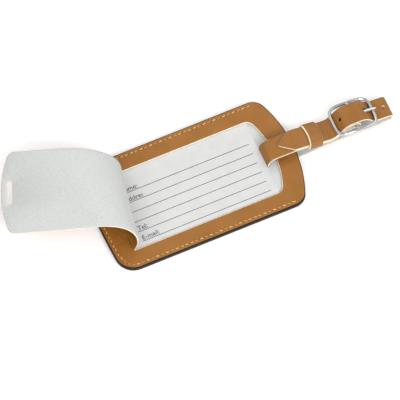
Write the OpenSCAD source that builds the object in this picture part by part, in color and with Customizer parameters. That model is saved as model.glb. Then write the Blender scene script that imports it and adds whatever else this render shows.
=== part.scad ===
// Luggage tag: a leather tag with a windowed front, a curled-back cover flap, an address card
// and a buckled strap. Millimetres. +X runs along the tag towards the strap loop, +Y across it,
// +Z up. The origin is on the ground under the tip of the arched end, on the strap's flat ply.

/* [Tag body] */
// Length from the hinge end to the tip of the arched end
tag_length = 121; // [112:1:146]
// Width across the tag
tag_width = 70; // [66:1:84]
// Radius of the arched end
arch_radius = 81; // [70:1:98]
// Corner radius beside the arched end
arch_corner = 8.5; // [7:0.5:10]
// Radius of the slightly bowed hinge end
hinge_end_radius = 400; // [250:10:600]
// Corner radius at the hinge end
hinge_corner = 11; // [8:0.5:13]

/* [Layers] */
// Thickness of the back sheet
back_t = 1.0; // [0.8:0.1:1.4]
// Thickness of the stiffening board
board_t = 0.7; // [0.5:0.1:1.2]
// Thickness of the grey pocket lining
lining_t = 0.4; // [0.3:0.1:0.6]
// Height of the card pocket between the lining and the front sheet
pocket_h = 0.5; // [0.45:0.05:0.8]
// Thickness of the front sheet around the window
front_t = 0.9; // [0.8:0.1:1.4]
// Width of the glued and stitched border
border_w = 4; // [3.5:0.5:5.5]

/* [Window and flap] */
// Width of the window cut
window_w = 48.3; // [40:0.5:52]
// Distance from the window's hinge line to the hinge end
hinge_margin = 12.4; // [9:0.2:15]
// Width of the front band between the window and the arched end
arch_band = 12.2; // [10:0.2:14]
// Radius of the window's arched end
window_radius = 60; // [45:1:80]
// Corner radius of the window
window_corner = 5; // [3:0.5:7]
// Knife gap between the flap and the window
cut_gap = 0.3; // [0.2:0.05:0.5]
// Thickness of the flap sheet
flap_t = 0.9; // [0.7:0.05:1.1]
// Clearance between the two bent edges at a crease
crease_clear = 0.08; // [0.05:0.01:0.15]
// Bend of the sharp crease at the hinge, in degrees
hinge_bend = 62; // [20:1:70]
// Bend of each further crease, in degrees
curl_bend = 17; // [5:1:24]
// Width of the strap slot in the flap
flap_slot_w = 2.6; // [2.2:0.1:3]

/* [Address card] */
// Length of the card
card_l = 90; // [80:0.5:92]
// Width of the card
card_w = 54; // [50:0.5:58]
// Thickness of the card
card_t = 0.3; // [0.2:0.05:0.35]
// Gap between the card's edge and the strap that stops it
card_gap = 0.15; // [0.1:0.05:0.5]

/* [Stitching] */
// Distance from the edge to the stitch line
stitch_inset = 2.3; // [1.8:0.1:3]
// Stitch pitch
stitch_pitch = 3; // [2.5:0.1:4]
// Length of the visible thread of one stitch
stitch_l = 2.2; // [1.6:0.1:2.3]
// Thread thickness
thread_d = 0.7; // [0.5:0.05:0.8]
// Distance from the arched end at which the stitching stops
stitch_stop = 12.5; // [9:0.5:16]

/* [Strap] */
// Width of the strap
strap_w = 12.8; // [10.6:0.1:15.4]
// Thickness of the strap
strap_t = 1.2; // [1:0.05:1.3]
// Distance from the arched end to the strap's slot in the back
slot_inset = 18; // [17.6:0.1:19]
// Clearance each side of the strap in its slots and keeper
strap_clear = 0.3; // [0.2:0.05:0.5]
// Height of the strap over the arched end, at the middle of its ply
crest_z = 9.9; // [9:0.1:12]
// Height of the fixed ply between keeper and buckle
run_z = 5.6; // [5.4:0.1:6]
// Gap between the fixed ply and the free ply
ply_gap = 0.15; // [0.1:0.05:0.2]
// Length of the loop beyond the buckle's outer bar
loop_tail = 10.6; // [9:0.1:14]
// Distance that the free end's point reaches back over the tag
tip_reach = 9.3; // [8:0.1:11]
// Length of the pointed end
tip_l = 7.9; // [5:0.1:9]
// Diameter of the punched holes
hole_d = 1.9; // [1.6:0.1:2.4]

/* [Buckle] */
// Distance from the arched end to the buckle's centre bar
bar_x = 36.5; // [35.5:0.1:38]
// Height of the centre bar
bar_z = 12.4; // [11.6:0.1:13]
// Diameter of the centre bar
bar_d = 2.2; // [1.8:0.1:2.4]
// Length of the frame along the strap
frame_l = 26.6; // [25:0.1:28]
// Room on each side of the strap inside the frame, as a share of the strap's width
frame_clear = 0.14; // [0.1:0.01:0.2]
// Thickness of the frame's wire
wire_d = 2.2; // [1.8:0.1:2.4]
// Height of the frame's bow over its length
frame_bow = 0.8; // [0.4:0.1:1]
// Slope of the frame down towards the loop, in degrees
frame_tilt = 5; // [3:0.5:6]
// Width of the prong
prong_w = 1.8; // [1.4:0.1:2]
// Thickness of the prong
prong_t = 0.8; // [0.6:0.05:1]
// Running clearance of the prong's eye on the bar
prong_clear = 0.1; // [0.06:0.01:0.15]

/* [Keeper] */
// Distance from the arched end to the keeper's middle
keeper_x = 10.6; // [10:0.1:11.5]
// Width of the keeper along the strap
keeper_l = 8.4; // [6:0.1:9]
// Thickness of the keeper's leather
keeper_t = 1; // [0.8:0.05:1.1]
// Clearance of the keeper above and below the two plies
keeper_clear = 0.25; // [0.2:0.05:0.4]

/* [Hidden] */

TAN = "#AE7A45";
GREY = "#CDCFCB";
THREAD = "#D19A5B";
CARD = "#F4F4F2";
CHROME = "#C8CBD0";
BOARD = "#8C8274";
eps = 0.01;

// Heights of the layers, from the underside of the back sheet
board_z = back_t;
lining_z = board_z + board_t;
pocket_z = lining_z + lining_t;
front_z = pocket_z + pocket_h;
tag_t = front_z + front_t;

// The tag lies on the strap's lower ply at the slot, and on its own hinge end at the other
ply_rest = 0.15;
half_strap = strap_w / 2;
card_inset = slot_inset + strap_t / 2 + card_gap;
tilt = asin((strap_t + ply_rest) / (tag_length - slot_inset - strap_t));

// ---- outlines -------------------------------------------------------------------------------

function arc(c, r, a0, a1, n) =
    [for (i = [0:n]) let (a = a0 + (a1 - a0) * i / n) c + r * [cos(a), sin(a)]];

// Half-turned copy of the upper half of an outline, so that both sides are the same
function mirrored(pts) = [for (i = [len(pts) - 1:-1:0]) [pts[i].x, -pts[i].y]];

// Upper half of the tag's outline, inset by d, from the arched end round to the hinge end
function half_outline(d) =
    let (hw = tag_width / 2,
         ca = [-arch_radius, 0],
         fa = [-arch_radius + sqrt(pow(arch_radius - arch_corner, 2) - pow(hw - arch_corner, 2)),
               hw - arch_corner],
         aa = atan2(fa.y, fa.x - ca.x),
         ch = [-tag_length + hinge_end_radius, 0],
         fh = [ch.x - sqrt(pow(hinge_end_radius - hinge_corner, 2) - pow(hw - hinge_corner, 2)),
               hw - hinge_corner],
         ah = atan2(fh.y, ch.x - fh.x))
    concat(arc(ca, arch_radius - d, 0, aa, 8), arc(fa, arch_corner - d, aa, 90, 8),
           arc(fh, hinge_corner - d, 90, 180 - ah, 10), arc(ch, hinge_end_radius - d, 180 - ah, 180, 4));

module tag_outline(d = 0) {
    polygon(concat(half_outline(d), mirrored(half_outline(d))));
}

// Upper half of the window's outline, taken in by d, from its arched end to the hinge line
function half_window(d) =
    let (hw = window_w / 2,
         ca = [-arch_band - window_radius, 0],
         fa = [ca.x + sqrt(pow(window_radius - window_corner, 2) - pow(hw - window_corner, 2)),
               hw - window_corner],
         aa = atan2(fa.y, fa.x - ca.x))
    concat(arc(ca, window_radius - d, 0, aa, 8), arc(fa, window_corner - d, aa, 90, 6),
           [[hinge_x, hw - d]]);

module window_outline(d = 0) {
    polygon(concat(half_window(d), mirrored(half_window(d))));
}

// ---- the flap's creases ---------------------------------------------------------------------

creases = 9;
hinge_x = -tag_length + hinge_margin;
flap_mid_z = front_z + front_t - flap_t / 2;

// Where crease i meets the near (-Y) and far (+Y) side of the window, from the hinge line
near_first = 0.5;
near_step = 3.2;
near_power = 1.17;
far_first = 11.4;
far_step = 1.28;
far_power = 1.765;
function near_at(i) = hinge_x + near_first + near_step * pow(i, near_power);
function far_at(i) = hinge_x + far_first + far_step * pow(i, far_power);
function bend_of(i) = i == 0 ? hinge_bend : curl_bend;
function gap_of(i) = flap_t / 2 * tan(bend_of(i) / 2) + crease_clear;
function crease_dir(i) = let (d = [far_at(i) - near_at(i), window_w]) d / norm(d);
function crease_point(i, side) = side < 0 ? [near_at(i), -window_w / 2] : [far_at(i), window_w / 2];

// Region on the free side of crease i, moved off it by gap
module beyond(i, gap) {
    d = crease_dir(i);
    off = gap * [d.y, -d.x];
    a = crease_point(i, -1) - tag_width * d + off;
    b = crease_point(i, 1) + tag_width * d + off;
    polygon([a, a + [tag_length * 2, 0], b + [tag_length * 2, 0], b]);
}

// Turns its children about crease k and every crease before it, as the open flap lies
module curled(k) {
    if (k < 0) children();
    else curled(k - 1) crease_turn(k) children();
}

module crease_turn(k) {
    p = crease_point(k, -1);
    d = crease_dir(k);
    translate([p.x, p.y, flap_mid_z])
        rotate(a = -bend_of(k), v = [d.x, d.y, 0])
            translate([-p.x, -p.y, -flap_mid_z]) children();
}

// Lays the tag's own layers down on the strap's lower ply
module lie_down() {
    translate([-tag_length, 0, 0]) rotate([0, -tilt, 0]) translate([tag_length, 0, 0]) children();
}

// ---- the tag's layers -----------------------------------------------------------------------

slot_l = strap_w + 2 * strap_clear;
slot_w = strap_t + 2 * strap_clear;
groove_depth = 0.35;
groove_room = 0.6;
thread_h = 0.3;

module strap_slot(z0, h) {
    translate([-slot_inset - slot_w / 2, -slot_l / 2, z0 - eps]) cube([slot_w, slot_l, h + 2 * eps]);
}

module layer(z0, h, d = 0) {
    difference() {
        translate([0, 0, z0]) linear_extrude(h) tag_outline(d);
        strap_slot(z0, h);
    }
}

// Strip that follows the two long sides and the hinge end, w wide about the stitch line
module seam_band(w) {
    difference() {
        tag_outline(stitch_inset - w / 2);
        tag_outline(stitch_inset + w / 2);
        translate([-stitch_stop + 1, -tag_width]) square([tag_length, 2 * tag_width]);
    }
}

module back_panel() {
    color(TAN) lie_down() difference() {
        layer(0, back_t);
        translate([0, 0, -eps]) linear_extrude(groove_depth + eps) seam_band(thread_d + 2 * groove_room);
    }
}

module back_stiffener() {
    color(BOARD) lie_down() layer(board_z, board_t);
}

module pocket_lining() {
    color(GREY) lie_down() layer(lining_z, lining_t);
}

// The pocket is closed by the border on three sides and is open at the arched end
module pocket_area() {
    mouth_in = border_w + 2;
    past_end = 2;
    tag_outline(border_w);
    translate([-stitch_stop - past_end, mouth_in - tag_width / 2])
        square([stitch_stop + 2 * past_end, tag_width - 2 * mouth_in]);
}

module window_cut() {
    intersection() {
        window_outline();
        beyond(0, -gap_of(0));
    }
}

module front_frame() {
    color(TAN) lie_down() difference() {
        translate([0, 0, pocket_z]) linear_extrude(pocket_h + front_t) tag_outline();
        translate([0, 0, pocket_z - eps]) linear_extrude(pocket_h + eps) pocket_area();
        translate([0, 0, pocket_z - eps]) linear_extrude(pocket_h + front_t + 2 * eps) window_cut();
    }
}

module address_card() {
    clear = (pocket_h - card_t) / 4;
    color(CARD) lie_down()
        translate([-card_inset - card_l, -card_w / 2, pocket_z + clear]) cube([card_l, card_w, card_t]);
}

// ---- stitching ------------------------------------------------------------------------------

// Stitch line: length and points of its long side, its corner arc and its end
stitch_r = hinge_corner - stitch_inset;
stitch_y = tag_width / 2 - stitch_inset;
stitch_end_x = -tag_length + stitch_inset;
side_run = tag_length - hinge_corner - stitch_stop;
end_run = stitch_y - stitch_r;
corner_run = PI / 2 * stitch_r;
half_run = side_run + corner_run + end_run;
stitch_count = floor(half_run / stitch_pitch);
// Bow of the hinge end at height y across the tag
function end_bow(y) = hinge_end_radius - sqrt(pow(hinge_end_radius, 2) - y * y);

// Place and heading of the stitch line at distance s from the arched end
function on_seam(s) =
    s < side_run ? [-stitch_stop - s, stitch_y, 180]
    : s < side_run + corner_run ?
        let (a = (s - side_run) / stitch_r * 180 / PI)
        [stitch_end_x + stitch_r - stitch_r * sin(a) + end_bow(stitch_y) * sin(a),
         stitch_y - stitch_r + stitch_r * cos(a), 180 + a]
    : let (y = stitch_y - stitch_r - (s - side_run - corner_run))
        [stitch_end_x + end_bow(y), y, 270];

module thread_piece(z0, h) {
    translate([-stitch_l / 2, -thread_d / 2, z0]) cube([stitch_l, thread_d, h]);
}

module seam_stitches(z0, h) {
    for (side = [-1, 1], i = [0:stitch_count - 1]) {
        p = on_seam((i + 0.5) * stitch_pitch);
        translate([p.x, side * p.y, 0]) rotate([0, 0, side * p.z]) thread_piece(z0, h);
    }
}

module front_stitches() {
    color(THREAD) lie_down() seam_stitches(tag_t, thread_h);
}

module back_stitches() {
    color(THREAD) lie_down() seam_stitches(groove_depth - thread_h, thread_h);
}

// ---- flap -----------------------------------------------------------------------------------

module flap_sheet(first, last) {
    translate([0, 0, flap_mid_z - flap_t / 2]) linear_extrude(flap_t) difference() {
        intersection() {
            window_outline(cut_gap);
            beyond(first, gap_of(first));
        }
        if (last) beyond(first + 1, -gap_of(first + 1));
    }
}

module flap_strip(i) {
    color(GREY) lie_down() curled(i) flap_sheet(i, true);
}

module flap_slot() {
    r = flap_slot_w / 2;
    translate([-slot_inset, 0]) square([flap_slot_w, slot_l - 2 * r], center = true);
    for (side = [-1, 1]) translate([-slot_inset, side * (slot_l / 2 - r)]) circle(r = r, $fn = 32);
}

module flap_panel() {
    color(GREY) lie_down() curled(creases - 1) difference() {
        flap_sheet(creases - 1, false);
        translate([0, 0, flap_mid_z - flap_t]) linear_extrude(2 * flap_t) flap_slot();
    }
}

// ---- strap ----------------------------------------------------------------------------------

wrap_r = bar_d / 2 + ply_gap + strap_t / 2;
ply_pitch = strap_t + ply_gap;
ground_z = strap_t / 2;

// The buckle's outer bar, on the sloping frame
frame_half = (frame_l - wire_d) / 2;
bar_end_x = bar_x + frame_half * cos(frame_tilt) - frame_bow * sin(frame_tilt);
bar_end_z = bar_z - frame_half * sin(frame_tilt) - frame_bow * cos(frame_tilt);

// The fixed ply falls from the crest, runs level, rises and folds round the centre bar
fixed_top = bar_z + wrap_r;
rise_end = bar_x - 5;
rise_x = bar_x - 13;
rise_angle = atan2(fixed_top - run_z, rise_end - rise_x);
fall_x0 = 1;
fall_x1 = rise_x - 4.5;
fall_angle = atan2(crest_z - run_z, fall_x1 - fall_x0);

// The sewn tab comes back under the rising stretch, one ply pitch below it
tab_l = 4.6;
tab_shift = ply_pitch * [sin(rise_angle), -cos(rise_angle)];
tab_low = bar_z - wrap_r;
tab_turn = rise_x + tab_shift.x + (tab_low - run_z - tab_shift.y) / tan(rise_angle);

// The lower ply rises a little to the loop's end, and the free ply goes back under the outer bar
under_x0 = 6;
under_x1 = 15;
under_z = 2.3;
loop_low = 2.9;
loop_high = 7.5;
loop_x = bar_end_x + loop_tail - strap_t / 2;
loop_r = (loop_high - loop_low) / 2 - 0.05;
under_bar_x = bar_end_x - 1.2;
bar_gap = 0.2;
under_bar_z = bar_end_z - wire_d / 2 - bar_gap - strap_t / 2;
loop_slope = atan2(under_bar_z - loop_high, loop_x - under_bar_x);

// Over the fold the free ply stands clear as a dome, then follows the fixed ply one pitch above it
dome_gap = 0.2;
dome_z = fixed_top + ply_pitch + dome_gap;
dome_x0 = rise_end - 0.6;
dome_x1 = bar_x + 5.4;
foot_x = rise_x - ply_pitch * tan(rise_angle / 2);
dome_slope = (dome_z - run_z - ply_pitch) / (dome_x0 - foot_x);
fall_shift = ply_pitch * tan(fall_angle / 2);

// Radii of the strap's bends: where it leaves the fold, at the foot of the rise, in the hollow
// beside it, on the crest, over the slot, in the slot, below, under the outer bar and on the dome
tab_r = 1.2;
fold_r = 3;
foot_r = 5;
free_foot_r = 4;
hollow_r = 8;
crest_r = 12;
over_slot_r = 4.5;
slot_r = 0.75;
below_r = 15;
under_bar_r = 3;
dome_r = 6;

// Middle line of the strap: [x, z, radius], from the sewn tab to the pointed free end
strap_line = [
    [tab_turn - tab_l * cos(rise_angle), tab_low - tab_l * sin(rise_angle), 0],
    [tab_turn, tab_low, tab_r],
    [bar_x + wrap_r, tab_low, wrap_r],
    [bar_x + wrap_r, fixed_top, wrap_r],
    [rise_end, fixed_top, fold_r],
    [rise_x, run_z, foot_r],
    [fall_x1, run_z, hollow_r],
    [fall_x0, crest_z, crest_r],
    [-slot_inset, crest_z, over_slot_r],
    [-slot_inset, ground_z, slot_r],
    [under_x0, ground_z, below_r],
    [under_x1, under_z, below_r],
    [loop_x, loop_low, loop_r],
    [loop_x, loop_high, loop_r],
    [under_bar_x, under_bar_z, under_bar_r],
    [dome_x1, dome_z, dome_r],
    [dome_x0, dome_z, dome_r],
    [foot_x, run_z + ply_pitch, free_foot_r],
    [fall_x1 + fall_shift, run_z + ply_pitch, hollow_r],
    [fall_x0 + fall_shift, crest_z + ply_pitch, crest_r],
    [-tip_reach, crest_z + ply_pitch, 0]
];

function unit(v) = v / norm(v);
function left_of(v) = [-v.y, v.x];

// Points of the band's edge at side * strap_t / 2 from the middle line, with round corners
function corner_points(p, q, r, side) =
    let (u = unit([q.x - p.x, q.y - p.y]),
         v = unit([r.x - q.x, r.y - q.y]),
         turn = u.x * v.y - u.y * v.x,
         bend = acos(max(-1, min(1, u * v))),
         back = q.z * tan(bend / 2),
         s = turn > 0 ? 1 : -1,
         centre = [q.x, q.y] - back * u + s * q.z * left_of(u),
         radius = q.z - s * side * strap_t / 2,
         steps = max(2, ceil(bend / 9)))
    [for (i = [0:steps]) let (a = s * bend * i / steps, n = -s * left_of(u))
        centre + radius * [n.x * cos(a) - n.y * sin(a), n.x * sin(a) + n.y * cos(a)]];

function band_edge(line, side) =
    let (n = len(line), first = line[0], second = line[1], last = line[n - 1], before = line[n - 2])
    concat(
        [[first.x, first.y] + side * strap_t / 2 * left_of(unit([second.x - first.x, second.y - first.y]))],
        [for (k = [1:n - 2]) each corner_points(line[k - 1], line[k], line[k + 1], side)],
        [[last.x, last.y] + side * strap_t / 2 * left_of(unit([last.x - before.x, last.y - before.y]))]);

function reversed(list) = [for (i = [len(list) - 1:-1:0]) list[i]];

// Stands an XZ profile up across the strap, w wide
module across(w) {
    translate([0, w / 2, 0]) rotate([90, 0, 0]) linear_extrude(w) children();
}

// Blunt point at the free end: what is cut away beside it, through the free ply only
tip_blunt = 0.7;
module pointed_end_cut() {
    root_x = -tip_reach + tip_l;
    translate([0, 0, crest_z + ply_pitch / 2]) linear_extrude(2 * strap_t) for (side = [-1, 1])
        polygon([[-tip_reach - 1, side * tip_blunt], [-tip_reach, side * tip_blunt],
                 [root_x, side * half_strap], [root_x, side * (half_strap + 1)],
                 [-tip_reach - 1, side * (half_strap + 1)]]);
}

// A round hole through the free ply only, at x and z, square to a ply that slopes by a degrees
module punched_hole(x, z, a) {
    translate([x, 0, z]) rotate([0, -a, 0])
        cylinder(d = hole_d, h = strap_t + ply_gap, center = true, $fn = 32);
}

// The prong lies on the outer bar: its turn about the centre bar, within the frame
prong_rest = 0.05;
prong_room = 0.35;
prong_lie = asin((bar_d / 2 + prong_clear - wire_d / 2 - prong_rest + frame_bow) / frame_half);

module at_prong() {
    translate([bar_x, 0, bar_z]) rotate([0, frame_tilt + prong_lie, 0]) children();
}

// Slot in the fold for the prong's eye
module eye_slot() {
    low = wrap_r + strap_t;
    translate([bar_x - wrap_r - prong_t, -prong_w / 2 - prong_room, bar_z - low])
        cube([2 * low + prong_t, prong_w + 2 * prong_room, low + wrap_r + strap_t / 2 + ply_gap / 2]);
}

// Long hole in the dome that the prong comes up through
module prong_hole() {
    hole_l = 6;
    start = 5.3;
    low = 0.9;
    high = 3.5;
    at_prong() translate([start, -prong_w / 2 - prong_room, low])
        cube([hole_l, prong_w + 2 * prong_room, high - low]);
}

module strap() {
    adjust_x = 29;
    loop_hole_in = 3.2;
    color(TAN) difference() {
        across(strap_w) polygon(concat(band_edge(strap_line, 1), reversed(band_edge(strap_line, -1))));
        pointed_end_cut();
        eye_slot();
        prong_hole();
        punched_hole(adjust_x, run_z + ply_pitch + (adjust_x - foot_x) * dome_slope, atan(dome_slope));
        punched_hole(loop_x - loop_hole_in, loop_high + loop_hole_in * tan(loop_slope), -loop_slope);
    }
}

module strap_end_stitches() {
    stitches = 4;
    from_turn = 2.2;
    side_margin = 1;
    pitch = (strap_w - 2 * side_margin) / stitches;
    color(THREAD) for (i = [0:stitches - 1])
        translate([tab_turn - from_turn * cos(rise_angle), (i - (stitches - 1) / 2) * pitch,
                   tab_low - from_turn * sin(rise_angle)])
            rotate([0, -rise_angle, 0]) translate([-thread_d / 2, -stitch_l / 2, -strap_t / 2 - thread_h])
                cube([thread_d, stitch_l, thread_h]);
}

// ---- keeper ---------------------------------------------------------------------------------

keeper_in_h = 2 * strap_t + ply_gap + 2 * keeper_clear;
keeper_z = crest_z + ply_pitch / 2 - (keeper_x - fall_x0) * tan(fall_angle);
keeper_seam = 0.3;

module on_keeper() {
    translate([keeper_x, 0, keeper_z]) rotate([0, fall_angle, 0]) children();
}

module round_rect(w, h, r) {
    square([w - 2 * r, h], center = true);
    square([w, h - 2 * r], center = true);
    for (x = [-1, 1], y = [-1, 1]) translate([x * (w / 2 - r), y * (h / 2 - r)]) circle(r = r, $fn = 32);
}

module strap_keeper() {
    in_w = strap_w + 2 * strap_clear;
    inner_r = 0.3;
    color(TAN) on_keeper() rotate([90, 0, 90]) translate([0, 0, -keeper_l / 2]) linear_extrude(keeper_l)
        difference() {
            round_rect(in_w + 2 * keeper_t, keeper_in_h + 2 * keeper_t, keeper_t + inner_r);
            round_rect(in_w, keeper_in_h, inner_r);
            translate([-keeper_seam / 2, -keeper_in_h]) square([keeper_seam, keeper_in_h]);
        }
}

module keeper_staple() {
    low = keeper_in_h / 2 + keeper_t;
    wire = [0.6, 4, 0.35];
    leg_x = keeper_l / 5;
    color(CHROME) on_keeper() for (side = [-1, 1])
        translate([side * leg_x, 0, -low - wire.z / 2]) cube(wire, center = true);
}

// ---- buckle ---------------------------------------------------------------------------------

frame_w = strap_w * (1 + 2 * frame_clear) + 2 * wire_d;
frame_rings = 56;
frame_sides = 10;
frame_power = 4.4;

module at_buckle() {
    translate([bar_x, 0, bar_z]) rotate([0, frame_tilt, 0]) children();
}

// Middle line of the frame's wire at angle a: a rounded rectangle with bowed sides
function power_of(v) = sign(v) * pow(abs(v), 2 / frame_power);
function frame_at(a) =
    let (x = frame_half * power_of(cos(a)))
    [x, (frame_w - wire_d) / 2 * power_of(sin(a)), -frame_bow * pow(x / frame_half, 2)];
function frame_angle(i) = (i + 0.5) * 360 / frame_rings;

function frame_ring(i) =
    let (p = frame_at(frame_angle(i)),
         t = unit(frame_at(frame_angle(i) + 1) - frame_at(frame_angle(i) - 1)),
         n = unit(cross([0, 0, 1], t)),
         b = cross(t, n))
    [for (k = [0:frame_sides - 1]) let (a = 360 * k / frame_sides)
        p + wire_d / 2 * (n * cos(a) + b * sin(a))];

module buckle_frame() {
    points = [for (i = [0:frame_rings - 1]) each frame_ring(i)];
    faces = [for (i = [0:frame_rings - 1], k = [0:frame_sides - 1])
        let (j = (i + 1) % frame_rings, m = (k + 1) % frame_sides)
        [i * frame_sides + k, i * frame_sides + m, j * frame_sides + m, j * frame_sides + k]];
    color(CHROME) at_buckle() polyhedron(points, faces);
}

module buckle_bar() {
    color(CHROME) translate([bar_x, (frame_w - wire_d) / 2, bar_z]) rotate([90, 0, 0])
        cylinder(d = bar_d, h = frame_w - wire_d, $fn = 48);
}

module buckle_prong() {
    eye_r = bar_d / 2 + prong_clear;
    overhang = 2.2;
    color(CHROME) at_prong() difference() {
        union() {
            rotate([90, 0, 0]) cylinder(r = eye_r + prong_t, h = prong_w, center = true, $fn = 48);
            translate([0, -prong_w / 2, eye_r]) cube([frame_half + overhang, prong_w, prong_t]);
        }
        rotate([90, 0, 0]) cylinder(r = eye_r, h = prong_w + 1, center = true, $fn = 48);
    }
}

back_panel();
back_stiffener();
pocket_lining();
front_frame();
front_stitches();
back_stitches();
address_card();
flap_strip(0);  // flap_strip_1
flap_strip(1);  // flap_strip_2
flap_strip(2);  // flap_strip_3
flap_strip(3);  // flap_strip_4
flap_strip(4);  // flap_strip_5
flap_strip(5);  // flap_strip_6
flap_strip(6);  // flap_strip_7
flap_strip(7);  // flap_strip_8
flap_panel();
strap();
strap_end_stitches();
strap_keeper();
keeper_staple();
buckle_frame();
buckle_bar();
buckle_prong();
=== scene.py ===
"""Visual model of a leather luggage tag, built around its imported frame.

The tag lies on its strap with the cover flap curled open. Sizes are in millimetres and follow the
frame's own: +X runs along the tag to the strap loop, +Y across it and +Z up.
"""

import logging
import math
from dataclasses import dataclass, field
from enum import Enum
from typing import Callable, Iterable, Sequence

import bmesh
import bpy
from mathutils import Matrix, Vector
from mathutils.geometry import delaunay_2d_cdt

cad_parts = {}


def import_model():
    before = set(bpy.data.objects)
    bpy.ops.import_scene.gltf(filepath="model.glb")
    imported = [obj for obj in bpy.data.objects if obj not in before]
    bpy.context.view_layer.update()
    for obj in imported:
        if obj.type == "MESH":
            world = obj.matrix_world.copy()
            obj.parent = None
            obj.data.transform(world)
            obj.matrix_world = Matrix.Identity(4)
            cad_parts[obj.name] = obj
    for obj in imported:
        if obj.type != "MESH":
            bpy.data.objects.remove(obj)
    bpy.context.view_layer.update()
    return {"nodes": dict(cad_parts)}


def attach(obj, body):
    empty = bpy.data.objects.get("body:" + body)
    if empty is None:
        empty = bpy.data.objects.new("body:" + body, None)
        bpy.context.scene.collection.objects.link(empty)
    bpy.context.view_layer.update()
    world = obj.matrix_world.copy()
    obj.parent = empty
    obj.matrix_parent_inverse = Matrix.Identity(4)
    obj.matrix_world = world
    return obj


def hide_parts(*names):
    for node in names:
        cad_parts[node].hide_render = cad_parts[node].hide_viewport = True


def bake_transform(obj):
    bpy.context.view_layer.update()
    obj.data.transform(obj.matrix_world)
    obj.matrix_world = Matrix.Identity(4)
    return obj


LOG = logging.getLogger("luggage_tag")
MM = 0.001
# Bands that the wave texture draws in one cell
WAVES_PER_CELL = 20
Point2 = tuple[float, float]
Point3 = tuple[float, float, float]


# ---- small helpers ---------------------------------------------------------------------------


def linear(hex_colour: str) -> tuple[float, float, float, float]:
    """Turns an sRGB hex colour to linear.

    Args:
        hex_colour: Six hex digits after a hash.

    Returns:
        Linear red, green and blue, and an alpha of 1.
    """
    parts = [int(hex_colour[i : i + 2], 16) / 255 for i in (1, 3, 5)]
    turned = [c / 12.92 if c <= 0.04045 else ((c + 0.055) / 1.055) ** 2.4 for c in parts]
    return (turned[0], turned[1], turned[2], 1.0)


def per_mm(size_mm: float) -> float:
    """Texture scale at which one cell of the pattern is size_mm long."""
    return 1 / (size_mm * MM)


def smooth(value: float) -> float:
    """Smoothstep of a value held between 0 and 1."""
    t = max(0.0, min(1.0, value))
    return t * t * (3 - 2 * t)


def arc(cx: float, cy: float, r: float, a0: float, a1: float, n: int) -> list[Point2]:
    """Points of an arc.

    Args:
        cx: Centre along X.
        cy: Centre along Y.
        r: Radius.
        a0: First angle in degrees.
        a1: Last angle in degrees.
        n: Number of steps.

    Returns:
        The n + 1 points from a0 to a1.
    """
    angles = [math.radians(a0 + (a1 - a0) * i / n) for i in range(n + 1)]
    return [(cx + r * math.cos(a), cy + r * math.sin(a)) for a in angles]


def inside(point: Point2, loop: Sequence[Point2]) -> bool:
    """Whether a point lies inside a closed outline.

    Args:
        point: The point to test.
        loop: The outline's corners, in order.

    Returns:
        True for a point inside.
    """
    x, y = point
    hit = False
    for (x0, y0), (x1, y1) in zip(loop, [*loop[1:], loop[0]]):
        if (y0 > y) != (y1 > y) and x < x0 + (y - y0) / (y1 - y0) * (x1 - x0):
            hit = not hit
    return hit


def add_node(
    tree: bpy.types.NodeTree, kind: str, inputs: dict | None = None, **settings: object
) -> bpy.types.Node:
    """Adds a shader node.

    Args:
        tree: The node tree that takes it.
        kind: Blender's name for the node type.
        inputs: Socket name or number to a value, or to the output socket that feeds it.
        settings: Properties set on the node.

    Returns:
        The new node.
    """
    node = tree.nodes.new(kind)
    for name, value in settings.items():
        setattr(node, name, value)
    for key, value in (inputs or {}).items():
        if isinstance(value, bpy.types.NodeSocket):
            tree.links.new(value, node.inputs[key])
        else:
            node.inputs[key].default_value = value
    return node


def fractal(
    tree: bpy.types.NodeTree, size_mm: float, detail: float, distortion: float = 0.0
) -> bpy.types.NodeSocket:
    """Adds noise that is fixed to the object.

    Args:
        tree: The material's nodes.
        size_mm: Size of one clump.
        detail: Noise octaves.
        distortion: How far the clumps are pulled about.

    Returns:
        The noise.
    """
    place = add_node(tree, "ShaderNodeTexCoord")
    inputs = {"Vector": place.outputs["Object"], "Scale": per_mm(size_mm), "Detail": detail}
    inputs["Distortion"] = distortion
    return add_node(tree, "ShaderNodeTexNoise", inputs).outputs["Fac"]


def graded(
    tree: bpy.types.NodeTree, value: bpy.types.NodeSocket, source: Point2, target: Point2
) -> bpy.types.NodeSocket:
    """Maps a value from one range to another.

    Args:
        tree: The material's nodes.
        value: The value.
        source: Low and high end of the range it comes from.
        target: Low and high end of the range it goes to.

    Returns:
        The mapped value, held to the target range.
    """
    ends = {"From Min": source[0], "From Max": source[1], "To Min": target[0], "To Max": target[1]}
    return add_node(tree, "ShaderNodeMapRange", {"Value": value, **ends}).outputs["Result"]


def combined(
    tree: bpy.types.NodeTree,
    a: bpy.types.NodeSocket,
    b: bpy.types.NodeSocket | float,
    operation: str,
) -> bpy.types.NodeSocket:
    """Combines two numbers with a math node.

    Args:
        tree: The material's nodes.
        a: The first number.
        b: The second number.
        operation: Blender's name for the operation.

    Returns:
        The result.
    """
    return add_node(tree, "ShaderNodeMath", {0: a, 1: b}, operation=operation).outputs["Value"]


def darkened(
    tree: bpy.types.NodeTree, colour: bpy.types.NodeSocket, factor: bpy.types.NodeSocket
) -> bpy.types.NodeSocket:
    """Multiplies a colour by a factor.

    Args:
        tree: The material's nodes.
        colour: The colour.
        factor: The factor.

    Returns:
        The darker colour.
    """
    inputs = {"Factor": 1.0, "A": colour, "B": factor}
    made = add_node(tree, "ShaderNodeMix", inputs, data_type="RGBA", blend_type="MULTIPLY")
    return made.outputs["Result"]


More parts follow.
